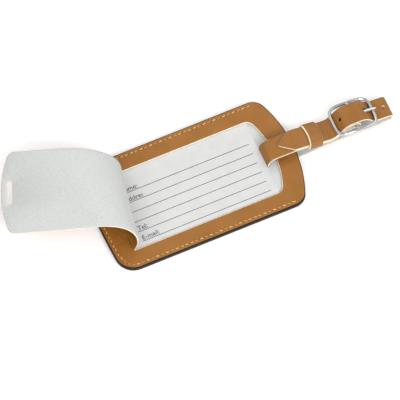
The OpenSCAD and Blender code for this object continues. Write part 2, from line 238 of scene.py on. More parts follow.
def emboss(
    tree: bpy.types.NodeTree,
    shader: bpy.types.Node,
    height: bpy.types.NodeSocket,
    strength: float,
    depth_mm: float,
) -> None:
    """Gives a shader's surface a relief.

    Args:
        tree: The material's nodes.
        shader: The shader.
        height: The relief's height.
        strength: How strongly it shows.
        depth_mm: The relief's full depth.
    """
    inputs = {"Height": height, "Strength": strength, "Distance": depth_mm * MM}
    bump = add_node(tree, "ShaderNodeBump", inputs)
    tree.links.new(bump.outputs["Normal"], shader.inputs["Normal"])


def placed(name: str, data: bpy.types.ID) -> bpy.types.Object:
    """Puts some data into the scene as an object.

    Args:
        name: The object's name.
        data: Its mesh, curve, light or camera.

    Returns:
        The object.
    """
    made = bpy.data.objects.new(name, data)
    bpy.context.scene.collection.objects.link(made)
    return made


# ---- finishes --------------------------------------------------------------------------------


@dataclass(frozen=True)
class Finish:
    """What every finish has: a real material's name, its colour and how rough it is."""

    name: str
    colour: str
    roughness: float
    metallic: float = 0.0

    def dress(self, tree: bpy.types.NodeTree, shader: bpy.types.Node) -> None:
        """Adds the finish's own detail to its shader. The plain finish has none."""

    def material(self) -> bpy.types.Material:
        """The finish as a material, made on first use.

        Returns:
            The material.
        """
        made = bpy.data.materials.get(self.name)
        if made:
            return made
        made = bpy.data.materials.new(self.name)
        made.use_nodes = True
        tree = made.node_tree
        shader = tree.nodes["Principled BSDF"]
        shader.inputs["Base Color"].default_value = linear(self.colour)
        shader.inputs["Roughness"].default_value = self.roughness
        shader.inputs["Metallic"].default_value = self.metallic
        self.dress(tree, shader)
        return made


def varied(
    tree: bpy.types.NodeTree, size_mm: float, low: str, high: str, detail: float = 3.0
) -> tuple[bpy.types.NodeSocket, bpy.types.NodeSocket]:
    """A cloudy colour between two shades.

    Args:
        tree: The material's nodes.
        size_mm: Size of one cloud.
        low: Darker colour.
        high: Lighter colour.
        detail: Noise octaves.

    Returns:
        The colour socket, and the noise that drives it.
    """
    noise = fractal(tree, size_mm, detail)
    ramp = add_node(tree, "ShaderNodeValToRGB", {"Fac": noise})
    ramp.color_ramp.elements[0].position = 0.32
    ramp.color_ramp.elements[0].color = linear(low)
    ramp.color_ramp.elements[1].position = 0.68
    ramp.color_ramp.elements[1].color = linear(high)
    return ramp.outputs["Color"], noise


@dataclass(frozen=True)
class GrainLeather(Finish):
    """Bonded cowhide with an embossed pebble grain and a thin pigment coat: it reads as an even
    tan with a soft satin sheen, a little darker in the pores and cloudy over some centimetres."""

    dark: str = "#976324"
    light: str = "#A26B2E"
    grain_mm: float = 0.55
    fine_mm: float = 1.6
    cloud_mm: float = 14.0

    def dress(self, tree: bpy.types.NodeTree, shader: bpy.types.Node) -> None:
        """Adds the cloudy colour, the darker pores and the raised pebbles.

        Args:
            tree: The material's nodes.
            shader: The material's shader.
        """
        colour, _ = varied(tree, self.cloud_mm, self.dark, self.light)
        place = add_node(tree, "ShaderNodeTexCoord")
        grain = add_node(
            tree,
            "ShaderNodeTexVoronoi",
            {"Vector": place.outputs["Object"], "Scale": per_mm(self.grain_mm)},
            feature="DISTANCE_TO_EDGE",
        )
        pores = graded(tree, grain.outputs["Distance"], (0.0, 0.18), (0.84, 1.0))
        tree.links.new(darkened(tree, colour, pores), shader.inputs["Base Color"])
        fine = fractal(tree, self.fine_mm, 4.0)
        height = combined(tree, grain.outputs["Distance"], fine, "ADD")
        emboss(tree, shader, height, 0.55, 0.08)
        sheen = (self.roughness - 0.07, self.roughness + 0.1)
        tree.links.new(graded(tree, fine, (0.0, 1.0), sheen), shader.inputs["Roughness"])
        shader.inputs["Specular IOR Level"].default_value = 0.42


@dataclass(frozen=True)
class FeltBacking(Finish):
    """Non-woven microfibre bonded to the leather: pale grey, dull and faintly speckled with
    darker fibres. The fibres are a tenth of a millimetre, so their clumps are drawn instead."""

    dark: str = "#C3C5C3"
    light: str = "#CFD1CF"
    clump_mm: float = 0.9
    fibre_mm: float = 0.35
    painted_edge: str = ""

    def dress(self, tree: bpy.types.NodeTree, shader: bpy.types.Node) -> None:
        """Adds the speckle, the fuzz and, where asked, the lacquer on the sheet's edges.

        Args:
            tree: The material's nodes.
            shader: The material's shader.
        """
        colour, noise = varied(tree, self.clump_mm, self.dark, self.light, detail=6.0)
        fibres = fractal(tree, self.fibre_mm, 3.0, 1.5)
        result = darkened(tree, colour, graded(tree, fibres, (0.3, 0.5), (0.93, 1.0)))
        if self.painted_edge:
            facing = add_node(tree, "ShaderNodeNewGeometry")
            parts = add_node(tree, "ShaderNodeSeparateXYZ", {0: facing.outputs["Normal"]})
            upright = combined(tree, parts.outputs["Z"], 0.0, "ABSOLUTE")
            edge = combined(tree, upright, 0.5, "LESS_THAN")
            painted = add_node(
                tree,
                "ShaderNodeMix",
                {"Factor": edge, "A": result, "B": linear(self.painted_edge)},
                data_type="RGBA",
            )
            result = painted.outputs["Result"]
        tree.links.new(result, shader.inputs["Base Color"])
        emboss(tree, shader, combined(tree, noise, fibres, "ADD"), 0.6, 0.12)
        shader.inputs["Sheen Weight"].default_value = 0.15
        shader.inputs["Specular IOR Level"].default_value = 0.2


@dataclass(frozen=True)
class CloudyFinish(Finish):
    """A material whose colour drifts a little and whose surface is slightly uneven, as lacquer,
    cut fibre, paper and board are."""

    dark: str = "#000000"
    light: str = "#000000"
    cloud_mm: float = 2.0
    relief_mm: float = 0.05
    specular: float = 0.4
    glow: float = 0.0

    def dress(self, tree: bpy.types.NodeTree, shader: bpy.types.Node) -> None:
        """Adds the drifting colour and the uneven surface.

        Args:
            tree: The material's nodes.
            shader: The material's shader.
        """
        colour, noise = varied(tree, self.cloud_mm, self.dark, self.light, detail=5.0)
        tree.links.new(colour, shader.inputs["Base Color"])
        emboss(tree, shader, noise, 0.5, self.relief_mm)
        shader.inputs["Specular IOR Level"].default_value = self.specular
        shader.inputs["Emission Color"].default_value = linear(self.light)
        shader.inputs["Emission Strength"].default_value = self.glow


@dataclass(frozen=True)
class TwistedThread(Finish):
    """Waxed polyester thread of twisted plies: light tan, with a slanting twist along it."""

    dark: str = "#B9803F"
    light: str = "#E3B47C"
    twist_mm: float = 0.45

    def dress(self, tree: bpy.types.NodeTree, shader: bpy.types.Node) -> None:
        """Adds the twist as bands of colour and relief.

        Args:
            tree: The material's nodes.
            shader: The material's shader.
        """
        place = add_node(tree, "ShaderNodeTexCoord")
        twist = add_node(
            tree,
            "ShaderNodeTexWave",
            {
                "Vector": place.outputs["Object"],
                "Scale": per_mm(self.twist_mm) / WAVES_PER_CELL,
                "Distortion": 1.0,
            },
            bands_direction="DIAGONAL",
        )
        ramp = add_node(tree, "ShaderNodeValToRGB", {"Fac": twist.outputs["Fac"]})
        ramp.color_ramp.elements[0].color = linear(self.dark)
        ramp.color_ramp.elements[1].color = linear(self.light)
        tree.links.new(ramp.outputs["Color"], shader.inputs["Base Color"])
        emboss(tree, shader, twist.outputs["Fac"], 0.5, 0.06)


@dataclass(frozen=True)
class PlatedMetal(Finish):
    """Chrome-plated zinc, barrel polished: mirror bright, with a faint waviness and fine scuffs."""

    wave_mm: float = 2.5

    def dress(self, tree: bpy.types.NodeTree, shader: bpy.types.Node) -> None:
        """Adds the polish marks to the roughness and the waviness to the surface.

        Args:
            tree: The material's nodes.
            shader: The material's shader.
        """
        scuffs = fractal(tree, self.wave_mm, 8.0)
        gloss = graded(tree, scuffs, (0.0, 1.0), (self.roughness - 0.04, self.roughness + 0.08))
        tree.links.new(gloss, shader.inputs["Roughness"])
        emboss(tree, shader, scuffs, 0.2, 0.05)


LACQUER_DARK = "#1A130B"


class Finishes(Enum):
    """Every finish on the tag."""

    # Tan leather, whose fine pebbles break the sheen up into a satin
    LEATHER = GrainLeather("tan_grain_leather", "#A06A2E", 0.44)
    # The backing bonded under it, matt and pale, which shows inside the curl
    FELT = FeltBacking("grey_microfibre_backing", "#D4D6D3", 0.92)
    # The same backing in the pocket, its cut edges closed with lacquer
    LINING = FeltBacking("grey_microfibre_lining", "#D4D6D3", 0.9, painted_edge=LACQUER_DARK)
    # Stiff board between the sheets, seen only as part of the dark edge
    BOARD = FeltBacking(
        "grey_stiffening_board",
        "#8C8274",
        0.9,
        dark="#7E7466",
        light="#999080",
        painted_edge=LACQUER_DARK,
    )
    # Brush-on edge lacquer, dark brown and slightly glossy
    LACQUER = CloudyFinish(
        "dark_edge_lacquer", "#1C150D", 0.5, dark="#150F08", light="#241B11", specular=0.15
    )
    # The raw cut through the coating and fibre, cream coloured and dull
    CUT = CloudyFinish(
        "cream_cut_edge", "#EFE3CE", 0.8, dark="#E2D2B6", light="#F7EEDD", cloud_mm=1.2
    )
    # Waxed thread, lighter than the leather, so the seam reads as a row of bright dashes
    THREAD = TwistedThread("waxed_tan_thread", "#CF9A5C", 0.6)
    # Painted shade: a dark colour that stands in for the shade inside needle holes and inside the
    # strap's punched hole and slots
    HOLE_SHADE = CloudyFinish(
        "painted_hole_shade", "#3B220F", 0.9, dark="#2C180A", light="#4A2C14", specular=0.1
    )
    # Uncoated card, white with the faintest mottle
    CARD = CloudyFinish(
        "white_card_stock",
        "#EFF0F0",
        0.62,
        dark="#CBCBCA",
        light="#D0D0CF",
        cloud_mm=6.0,
        relief_mm=0.01,
    )
    # Offset printing ink, a dark neutral grey
    INK = CloudyFinish(
        "grey_printing_ink", "#3A3D44", 0.6, dark="#32353B", light="#42454C", relief_mm=0.005
    )
    # Chrome plating, which mirrors the white tent and its dark edge
    CHROME = PlatedMetal("chrome_plated_zinc", "#C6C7C9", 0.09, metallic=1.0)
    # Bare steel wire, greyer and softer than the chrome
    STEEL = PlatedMetal("staple_steel", "#C9CACC", 0.3, metallic=1.0)
    # A white acrylic sweep lit a little from behind
    FLOOR = CloudyFinish(
        "white_acrylic_sweep",
        "#F6F6F6",
        0.9,
        dark="#F4F4F4",
        light="#F8F8F8",
        cloud_mm=300.0,
        glow=0.22,
    )


# ---- mesh building ---------------------------------------------------------------------------


@dataclass
class MeshBuilder:
    """Collects points in millimetres and faces with their finishes, and makes one object."""

    points: list[Point3] = field(default_factory=list)
    faces: list[tuple[int, ...]] = field(default_factory=list)
    worn: list[Finishes] = field(default_factory=list)

    def add(self, points: Iterable[Point3]) -> list[int]:
        """Adds points and returns their numbers.

        Args:
            points: The points, in millimetres.

        Returns:
            The new points' numbers, in order.
        """
        first = len(self.points)
        self.points.extend(tuple(p) for p in points)
        return list(range(first, len(self.points)))

    def face(self, corners: Sequence[int], finish: Finishes) -> None:
        """Adds one face, leaving out repeated corners.

        Args:
            corners: Point numbers round the face.
            finish: The face's finish.
        """
        kept = [c for i, c in enumerate(corners) if c != corners[i - 1]]
        if len(kept) > 2:
            self.faces.append(tuple(kept))
            self.worn.append(finish)

    def bridge(
        self,
        a: Sequence[int],
        b: Sequence[int],
        finish: Finishes | Callable[[int], Finishes],
        closed: bool,
    ) -> None:
        """Joins two rows of points with quads.

        Args:
            a: The first row.
            b: The second row, as long as the first.
            finish: The quads' finish, or a function that gives it from the quad's number.
            closed: Whether the last point joins the first.
        """
        for i in range(len(a) - (0 if closed else 1)):
            j = (i + 1) % len(a)
            worn = finish(i) if callable(finish) and not isinstance(finish, Finishes) else finish
            self.face((a[i], a[j], b[j], b[i]), worn)

    def fill(
        self,
        outer: Sequence[int],
        holes: Sequence[Sequence[int]],
        finish: Finishes,
        lines: Sequence[Sequence[int]] = (),
    ) -> None:
        """Fills the flat area inside one loop and outside others with triangles.

        Args:
            outer: The outer loop's point numbers.
            holes: Loops that stay open.
            finish: The triangles' finish.
            lines: Rows of points inside the area that the triangles follow.
        """
        loops = [list(outer), *[list(h) for h in holes]]
        numbers = [n for row in (*loops, *lines) for n in row]
        index = {n: i for i, n in enumerate(numbers)}
        rounds = [(a, b) for loop in loops for a, b in zip(loop, [*loop[1:], loop[0]])]
        edges = [(index[a], index[b]) for a, b in rounds]
        edges += [(index[a], index[b]) for line in lines for a, b in zip(line, line[1:])]
        flat = [Vector(self.points[n][:2]) for n in numbers]
        verts, _, tris, origin, _, _ = delaunay_2d_cdt(flat, edges, [], 0, 1e-6)
        edge_of = [[self.points[n][:2] for n in loop] for loop in loops]
        for tri in tris:
            centre = sum((verts[i] for i in tri), Vector((0.0, 0.0))) / 3
            spot = (centre.x, centre.y)
            if inside(spot, edge_of[0]) and not any(inside(spot, h) for h in edge_of[1:]):
                self.face([numbers[origin[i][0]] for i in tri], finish)

    def make(
        self, name: str, place: Matrix | None = None, sharp_deg: float = 50.0
    ) -> bpy.types.Object:
        """Makes the object.

        Args:
            name: Its name.
            place: Transform of the points, in millimetres.
            sharp_deg: Edges that turn more than this stay crisp.

        Returns:
            The object, in metres in the row frame.
        """
        turn = place or Matrix.Identity(4)
        mesh = bpy.data.meshes.new(name)
        mesh.from_pydata([tuple((turn @ Vector(p)) * MM) for p in self.points], [], self.faces)
        kinds = list(dict.fromkeys(self.worn))
        for kind in kinds:
            mesh.materials.append(kind.value.material())
        mesh.polygons.foreach_set("material_index", [kinds.index(w) for w in self.worn])
        work = bmesh.new()
        work.from_mesh(mesh)
        bmesh.ops.recalc_face_normals(work, faces=work.faces)
        work.to_mesh(mesh)
        work.free()
        mesh.shade_smooth()
        mesh.set_sharp_from_angle(angle=math.radians(sharp_deg))
        return placed(name, mesh)


# ---- the tag's plan --------------------------------------------------------------------------


@dataclass(frozen=True)
class Plan:
    """Sizes of the tag's outlines and layers, in millimetres, and the curves they make."""

    length: float = 121.0
    width: float = 70.0
    arch_radius: float = 81.0
    arch_corner: float = 8.5
    hinge_end_radius: float = 400.0
    hinge_corner: float = 11.0
    window_width: float = 48.3
    hinge_margin: float = 12.4
    arch_band: float = 12.2
    window_radius: float = 60.0
    window_corner: float = 5.0
    cut_gap: float = 0.3
    back_top: float = 1.0
    spacer_z: float = 2.1
    sheet_z: float = 2.6
    top_z: float = 3.5
    slot_inset: float = 18.0
    slot_l: float = 13.4
    slot_w: float = 1.8
    strap_t: float = 1.2
    ply_rest: float = 0.15
    stitch_inset: float = 2.3
    stitch_stop: float = 12.5
    stitch_pitch: float = 3.0

    @property
    def lying(self) -> Matrix:
        """The tag's slope: it lies on the strap's lower ply and on its own hinge end.

        Returns:
            The transform from the plan to the row frame, in millimetres.
        """
        run = self.length - self.slot_inset - self.strap_t
        tilt = math.asin((self.strap_t + self.ply_rest) / run)
        foot = Matrix.Translation((-self.length, 0, 0))
        return foot @ Matrix.Rotation(-tilt, 4, "Y") @ foot.inverted()

    @property
    def half_window(self) -> float:
        """Half the window's width."""
        return self.window_width / 2

    @property
    def hinge_x(self) -> float:
        """Where the window's hinge side starts."""
        return -self.length + self.hinge_margin

    def outline(self, d: float) -> list[Point2]:
        """The tag's closed outline, inset by d, from the arched end's tip round anticlockwise.

        Args:
            d: How far inside the tag's edge it runs.

        Returns:
            The outline's points.
        """
        hw = self.width / 2
        fx = -self.arch_radius + math.sqrt(
            (self.arch_radius - self.arch_corner) ** 2 - (hw - self.arch_corner) ** 2
        )
        fy = hw - self.arch_corner
        aa = math.degrees(math.atan2(fy, fx + self.arch_radius))
        cx = -self.length + self.hinge_end_radius
        hx = cx - math.sqrt(
            (self.hinge_end_radius - self.hinge_corner) ** 2 - (hw - self.hinge_corner) ** 2
        )
        hy = hw - self.hinge_corner
        ah = math.degrees(math.atan2(hy, cx - hx))
        upper = arc(-self.arch_radius, 0, self.arch_radius - d, 0, aa, 20)
        upper += arc(fx, fy, self.arch_corner - d, aa, 90, 14)
        run = hx - fx
        upper += [(fx + run * i / 12, hw - d) for i in range(1, 12)]
        upper += arc(hx, hy, self.hinge_corner - d, 90, 180 - ah, 18)
        upper += arc(cx, 0, self.hinge_end_radius - d, 180 - ah, 180, 12)[1:]
        return upper + [(x, -y) for x, y in reversed(upper[1:-1])]

    def rim(self, d: float, near_x: float, far_x: float) -> list[Point2]:
        """The window's edge, open at the hinge.

        Args:
            d: Distance inside the window.
            near_x: Where it starts on the near side.
            far_x: Where it ends on the far side.

        Returns:
            Points from the near side round the arched end to the far side.
        """
        hw = self.half_window
        cx = -self.arch_band - self.window_radius
        fx = cx + math.sqrt(
            (self.window_radius - self.window_corner) ** 2 - (hw - self.window_corner) ** 2
        )
        fy = hw - self.window_corner
        aa = math.degrees(math.atan2(fy, fx - cx))
        upper = arc(cx, 0, self.window_radius - d, 0, aa, 14)
        upper += arc(fx, fy, self.window_corner - d, aa, 90, 12)
        lower = [(x, -y) for x, y in reversed(upper[1:])]
        return [(near_x, -(hw - d)), *lower, *upper, (far_x, hw - d)]

    def seam(self, s: float) -> tuple[float, float, float]:
        """Place and heading in degrees of the far side's stitch line, s from the arched end.

        Args:
            s: Distance along the seam.

        Returns:
            The place along X, the place across, and the heading.
        """
        r = self.hinge_corner - self.stitch_inset
        y = self.width / 2 - self.stitch_inset
        end_x = -self.length + self.stitch_inset
        side = self.length - self.hinge_corner - self.stitch_stop
        corner = math.pi / 2 * r
        bow = self.hinge_end_radius - math.sqrt(self.hinge_end_radius**2 - y * y)
        if s < side:
            return (-self.stitch_stop - s, y, 180.0)
        if s < side + corner:
            a = (s - side) / r
            across = end_x + r - r * math.sin(a) + bow * math.sin(a)
            return (across, y - r + r * math.cos(a), 180 + math.degrees(a))
        left = y - r - (s - side - corner)
        sag = self.hinge_end_radius - math.sqrt(self.hinge_end_radius**2 - left * left)
        return (end_x + sag, left, 270.0)

    @property
    def stitch_count(self) -> int:
        """Stitches on each half of the seam.

        Returns:
            The number of stitches.
        """
        r = self.hinge_corner - self.stitch_inset
        half = self.length - self.hinge_corner - self.stitch_stop + math.pi / 2 * r
        half += self.width / 2 - self.stitch_inset - r
        return int(half // self.stitch_pitch)


@dataclass(frozen=True)
class Fan:
    """The fan of creases that the cover flap curls along, in the plan's millimetres."""

    plan: Plan
    sheet_t: float = 0.9
    near_first: float = 0.5
    near_step: float = 3.2
    near_power: float = 1.17
    far_first: float = 11.4
    far_step: float = 1.28
    far_power: float = 1.765
    hinge_bend: float = 62.0
    curl_bend: float = 17.0
    count: int = 9
    lead: float = 0.62

    @property
    def mid_z(self) -> float:
        """Height of the flap's middle when it is closed."""
        return self.plan.top_z - self.sheet_t / 2

    def crease(self, i: float, y: float) -> float:
        """Where crease i crosses height y; between whole numbers it lies between two creases.

        Args:
            i: The crease's number, counted from the hinge.
            y: Place across the flap.

        Returns:
            The place along X.
        """
        near = self.plan.hinge_x + self.near_first + self.near_step * i**self.near_power
        far = self.plan.hinge_x + self.far_first + self.far_step * i**self.far_power
        share = (y + self.plan.half_window) / self.plan.window_width
        return near + (far - near) * share

    def border(self, k: int, y: float) -> float:
        """Where piece k of the flap ends: half way to the next crease; -1 ends at the frame.

        Args:
            k: The piece's number.
            y: Place across the flap.

        Returns:
            The place along X.
        """
        if k < 0:
            return self.crease(0, y) - self.lead
        return (self.crease(k, y) + self.crease(k + 1, y)) / 2

    def direction(self, k: int) -> Vector:
        """Unit vector along crease k in the closed flap."""
        hw = self.plan.half_window
        return Vector((self.crease(k, hw) - self.crease(k, -hw), 2 * hw, 0)).normalized()

    def places(self) -> list[Matrix]:
        """Rest transform of the frame, then of the flap beyond each crease.

        Returns:
            One transform for the frame and one for each crease.
        """
        hw = self.plan.half_window
        made = [self.plan.lying]
        for k in range(self.count):
            bend = self.hinge_bend if k == 0 else self.curl_bend
            pivot = Matrix.Translation((self.crease(k, -hw), -hw, self.mid_z))
            turn = Matrix.Rotation(math.radians(-bend), 4, self.direction(k))
            made.append(made[-1] @ pivot @ turn @ pivot.inverted())
        return made


# ---- the tag's body --------------------------------------------------------------------------


@dataclass
class FrontSheet:
    """The front leather: rolled outer edge, stitch groove, window rim and creases by the hinge."""

    plan: Plan
    fan: Fan
    columns: list[float]
    groove_mm: float = 0.2
    wall_mm: float = 3.6
    # How the window's rim rolls down: distance inside the window, height
    rim_steps: tuple[Point2, ...] = ((-0.6, 0.0), (-0.3, -0.02), (-0.08, -0.1), (0.0, -0.28))
    # Each crease in the leather beside the hinge: from, to, depth
    wrinkles: tuple[tuple[Point2, Point2, float], ...] = (
        ((-112.6, -9.0), (-111.2, -19.5), 0.45),
        ((-110.8, -11.0), (-110.3, -21.8), 0.5),
        ((-109.2, -13.0), (-109.5, -23.6), 0.75),
    )

    def height(self, d: float, x: float) -> float:
        """Top surface's height at inset d: a rolled edge, then a groove along the stitches.

        Args:
            d: Distance inside the tag's edge.
            x: Place along the tag.

        Returns:
            The height in the plan.
        """
        roll = 0.35 * max(0.0, 1 - d / 0.5) ** 2.2
        deep = self.groove_mm * math.exp(-(((d - self.plan.stitch_inset) / 0.32) ** 2))
        along = smooth((-self.plan.stitch_stop - x) / 1.5)
        return self.plan.top_z - roll - deep * along

    def floor_z(self, x: float, y: float) -> float:
        """Underside's height at the border: it stands on the lining except at the open end."""
        open_end = x > -self.plan.stitch_stop - 1 and abs(y) < 29
        return self.plan.sheet_z if open_end else self.plan.spacer_z

    def build(self) -> bpy.types.Object:
        """Builds the sheet.

        Returns:
            The object, ready in its place.
        """
        plan, fan, mesh = self.plan, self.fan, MeshBuilder()
        hw = plan.half_window
        insets = [0.0, 0.1, 0.25, 0.5, 1.2, 1.75, 1.95, 2.12, 2.3, 2.48, 2.65, 2.85, 3.6]
        low = mesh.add((x, y, self.floor_z(x, y)) for x, y in plan.outline(0))
        rings = [mesh.add((x, y, self.height(d, x)) for x, y in plan.outline(d)) for d in insets]
        mesh.bridge(low, rings[0], Finishes.LACQUER, True)
        for n, (a, b) in enumerate(zip(rings, rings[1:])):
            mesh.bridge(a, b, Finishes.LACQUER if n < 3 else Finishes.LEATHER, True)
        near_x, far_x = fan.border(-1, -hw), fan.border(-1, hw)
        rims = [
            mesh.add(
                (x, y, plan.top_z + (dz if abs(x - near_x) > 1 or abs(y) < hw - 1 else 0))
                for x, y in plan.rim(d, near_x - d, far_x - d)
            )
            for d, dz in self.rim_steps
        ]
        for n, (a, b) in enumerate(zip(rims, rims[1:])):
            mesh.bridge(a, b, Finishes.CUT if n else Finishes.LEATHER, False)
        foot = mesh.add((*mesh.points[i][:2], plan.sheet_z) for i in rims[-1])
        mesh.bridge(rims[-1], foot, Finishes.CUT, False)
        hinge = mesh.add((fan.border(-1, y), y, plan.top_z) for y in reversed(self.columns))
        hole = [r[0] for r in reversed(rims)] + rims[0][1:-1] + [r[-1] for r in rims] + hinge
        mesh.fill(rings[-1], [hole], Finishes.LEATHER, self.crease_lines(mesh))
        self.underside(mesh, low, foot)
        return mesh.make("front_leather", plan.lying)

    def crease_lines(self, mesh: MeshBuilder) -> list[list[int]]:
        """Adds the points of each leather crease: its bottom and its two lips.

        Args:
            mesh: The sheet's mesh.

        Returns:
            Each row's point numbers.
        """
        lines = []
        steps, lip = 10, 0.38
        for (x0, y0), (x1, y1), depth in self.wrinkles:
            side = Vector((y1 - y0, x0 - x1)).normalized() * lip
            for offset, share in ((-1, 0.0), (0, -1.0), (1, 0.25)):
                row = []
                for i in range(steps + 1):
                    t = i / steps
                    swell = math.sin(math.pi * t)
                    x = x0 + (x1 - x0) * t + side.x * offset * (0.35 + swell * 0.65) + 0.5 * swell
                    y = y0 + (y1 - y0) * t + side.y * offset * (0.35 + swell * 0.65)
                    row.append((x, y, self.plan.top_z + share * depth * swell))
                lines.append(mesh.add(row))
        return lines

    def underside(self, mesh: MeshBuilder, low: list[int], foot: list[int]) -> None:
        """Closes the sheet below: the border's spacer and the pocket's roof.

        Args:
            mesh: The sheet's mesh.
            low: Points round the tag's lower edge.
            foot: Points along the foot of the window's rim.
        """
        wall = self.plan.outline(self.wall_mm)
        inner = mesh.add((x, y, self.floor_z(x, y)) for x, y in wall)
        roof = mesh.add((x, y, self.plan.sheet_z) for x, y in wall)
        mesh.bridge(low, inner, Finishes.FELT, True)
        mesh.bridge(inner, roof, Finishes.FELT, True)
        back = mesh.add((*mesh.points[foot[n]][:2], self.plan.sheet_z) for n in (-1, 0))
        mesh.fill(roof, [[*foot, *back][: len(foot)]], Finishes.FELT)


@dataclass
class BackSheet:
    """The back leather, with its own groove below and the strap's slot through it."""

    plan: Plan
    groove_mm: float = 0.3

    def build(self) -> bpy.types.Object:
        """Builds the sheet.

        Returns:
            The object, ready in its place.
        """
        plan, mesh = self.plan, MeshBuilder()
        insets = [0.5, 0.25, 0.1, 0.0]
        under = [3.6, 2.8, 2.55, 2.3, 2.05, 1.8, 1.2]
        profile = [(d, self.groove(d)) for d in under]
        profile += [(d, 0.3 * (1 - d / 0.5) ** 2) for d in insets]
        rings = []
        for d, z in profile:
            outline = plan.outline(d)
            along = [1 if d < 1 else smooth((-plan.stitch_stop - x) / 1.5) for x, _ in outline]
            rings.append(mesh.add((x, y, z * a) for (x, y), a in zip(outline, along)))
        for n, (a, b) in enumerate(zip(rings, rings[1:])):
            mesh.bridge(a, b, Finishes.LACQUER if n > len(under) else Finishes.LEATHER, True)
        top = mesh.add((x, y, plan.back_top) for x, y in plan.outline(0))
        mesh.bridge(rings[-1], top, Finishes.LACQUER, True)
        half_w, half_l = plan.slot_w / 2, plan.slot_l / 2
        corners = [(-half_w, -half_l), (half_w, -half_l), (half_w, half_l), (-half_w, half_l)]
        slots = [
            mesh.add((x - plan.slot_inset, y, z) for x, y in corners) for z in (0.0, plan.back_top)
        ]
        mesh.fill(rings[0], [slots[0]], Finishes.LEATHER)
        mesh.fill(top, [slots[1]], Finishes.FELT)
        mesh.bridge(slots[0], slots[1], Finishes.CUT, True)
        return mesh.make("back_leather", plan.lying)

    def groove(self, d: float) -> float:
        """Height of the underside at inset d, in the groove for the stitches."""
        return self.groove_mm * math.exp(-(((d - self.plan.stitch_inset) / 0.35) ** 2))


@dataclass
class Stitching:
    """Saddle stitches: arched threads on a slant, each between two needle holes drawn as dark
    lenses of painted shade.
    """

    plan: Plan
    length: float = 2.35
    thread: float = 0.7
    slant: float = 9.0
    hole_r: float = 0.5

    def build(self, name: str, z: float, sunk: float, up: float) -> bpy.types.Object:
        """Builds one face's seam.

        Args:
            name: The object's name.
            z: Height of the groove's bottom.
            sunk: How far the threads are pulled into the leather.
            up: 1 for the front, -1 for the back.

        Returns:
            The threads and their needle holes, whose dark lenses are painted shade.
        """
        mesh = MeshBuilder()
        for side in (-1, 1):
            for i in range(self.plan.stitch_count):
                x, y, heading = self.plan.seam((i + 0.5) * self.plan.stitch_pitch)
                lean = side * (heading + self.slant)
                self.thread_piece(mesh, Vector((x, side * y)), lean, z - sunk * up, up)
            # Needle holes: dark lenses of painted shade, standing in for the shade inside open
            # holes
            for i in range(self.plan.stitch_count + 1):
                x, y, heading = self.plan.seam(i * self.plan.stitch_pitch)
                self.hole(mesh, Vector((x, side * y)), side * heading, z + 0.02 * up, up)
        return mesh.make(name, self.plan.lying)

    def thread_piece(
        self, mesh: MeshBuilder, at: Vector, heading: float, z: float, up: float
    ) -> None:
        """Adds one thread, arched between its ends.

        Args:
            mesh: The seam's mesh.
            at: The thread's middle in the plan.
            heading: The way it runs, in degrees.
            z: Height of the surface it lies on.
            up: 1 for the front, -1 for the back.
        """
        along = Vector((math.cos(math.radians(heading)), math.sin(math.radians(heading))))
        across = Vector((-along.y, along.x))
        steps, sides = 8, 8
        rows = []
        for i in range(steps + 1):
            t = i / steps * 2 - 1
            girth = self.thread / 2 * math.sqrt(max(0.04, 1 - t**6))
            rise = up * (0.26 * (1 - t**4) - 0.06)
            centre = at + along * (t * self.length / 2)
            ring = []
            for k in range(sides):
                a = 2 * math.pi * k / sides
                spot = centre + across * (girth * math.cos(a))
                ring.append((spot.x, spot.y, z + rise + girth * 0.8 * math.sin(a)))
            rows.append(mesh.add(ring))
        for a, b in zip(rows, rows[1:]):
            mesh.bridge(a, b, Finishes.THREAD, True)
        for row in (rows[0], rows[-1]):
            mesh.face(row, Finishes.THREAD)

    def hole(self, mesh: MeshBuilder, at: Vector, heading: float, z: float, up: float) -> None:
        """Adds one needle hole as painted shade: a small dark lens set in the groove in place of an
        open hole.

        Args:
            mesh: The seam's mesh.
            at: The hole's middle in the plan.
            heading: The way the seam runs, in degrees.
            z: Height of the surface it is in.
            up: 1 for the front, -1 for the back.
        """
        ring = []
        for k in range(10):
            a = 2 * math.pi * k / 10 + math.radians(heading)
            ring.append((at.x + self.hole_r * math.cos(a), at.y + self.hole_r * math.sin(a), z))
        rim = mesh.add(ring)
        for height in (0.03 * up, -0.1 * up):
            (tip,) = mesh.add([(at.x, at.y, z + height)])
            for a, b in zip(rim, [*rim[1:], rim[0]]):
                mesh.face((a, b, tip), Finishes.HOLE_SHADE)


# ---- the cover flap --------------------------------------------------------------------------


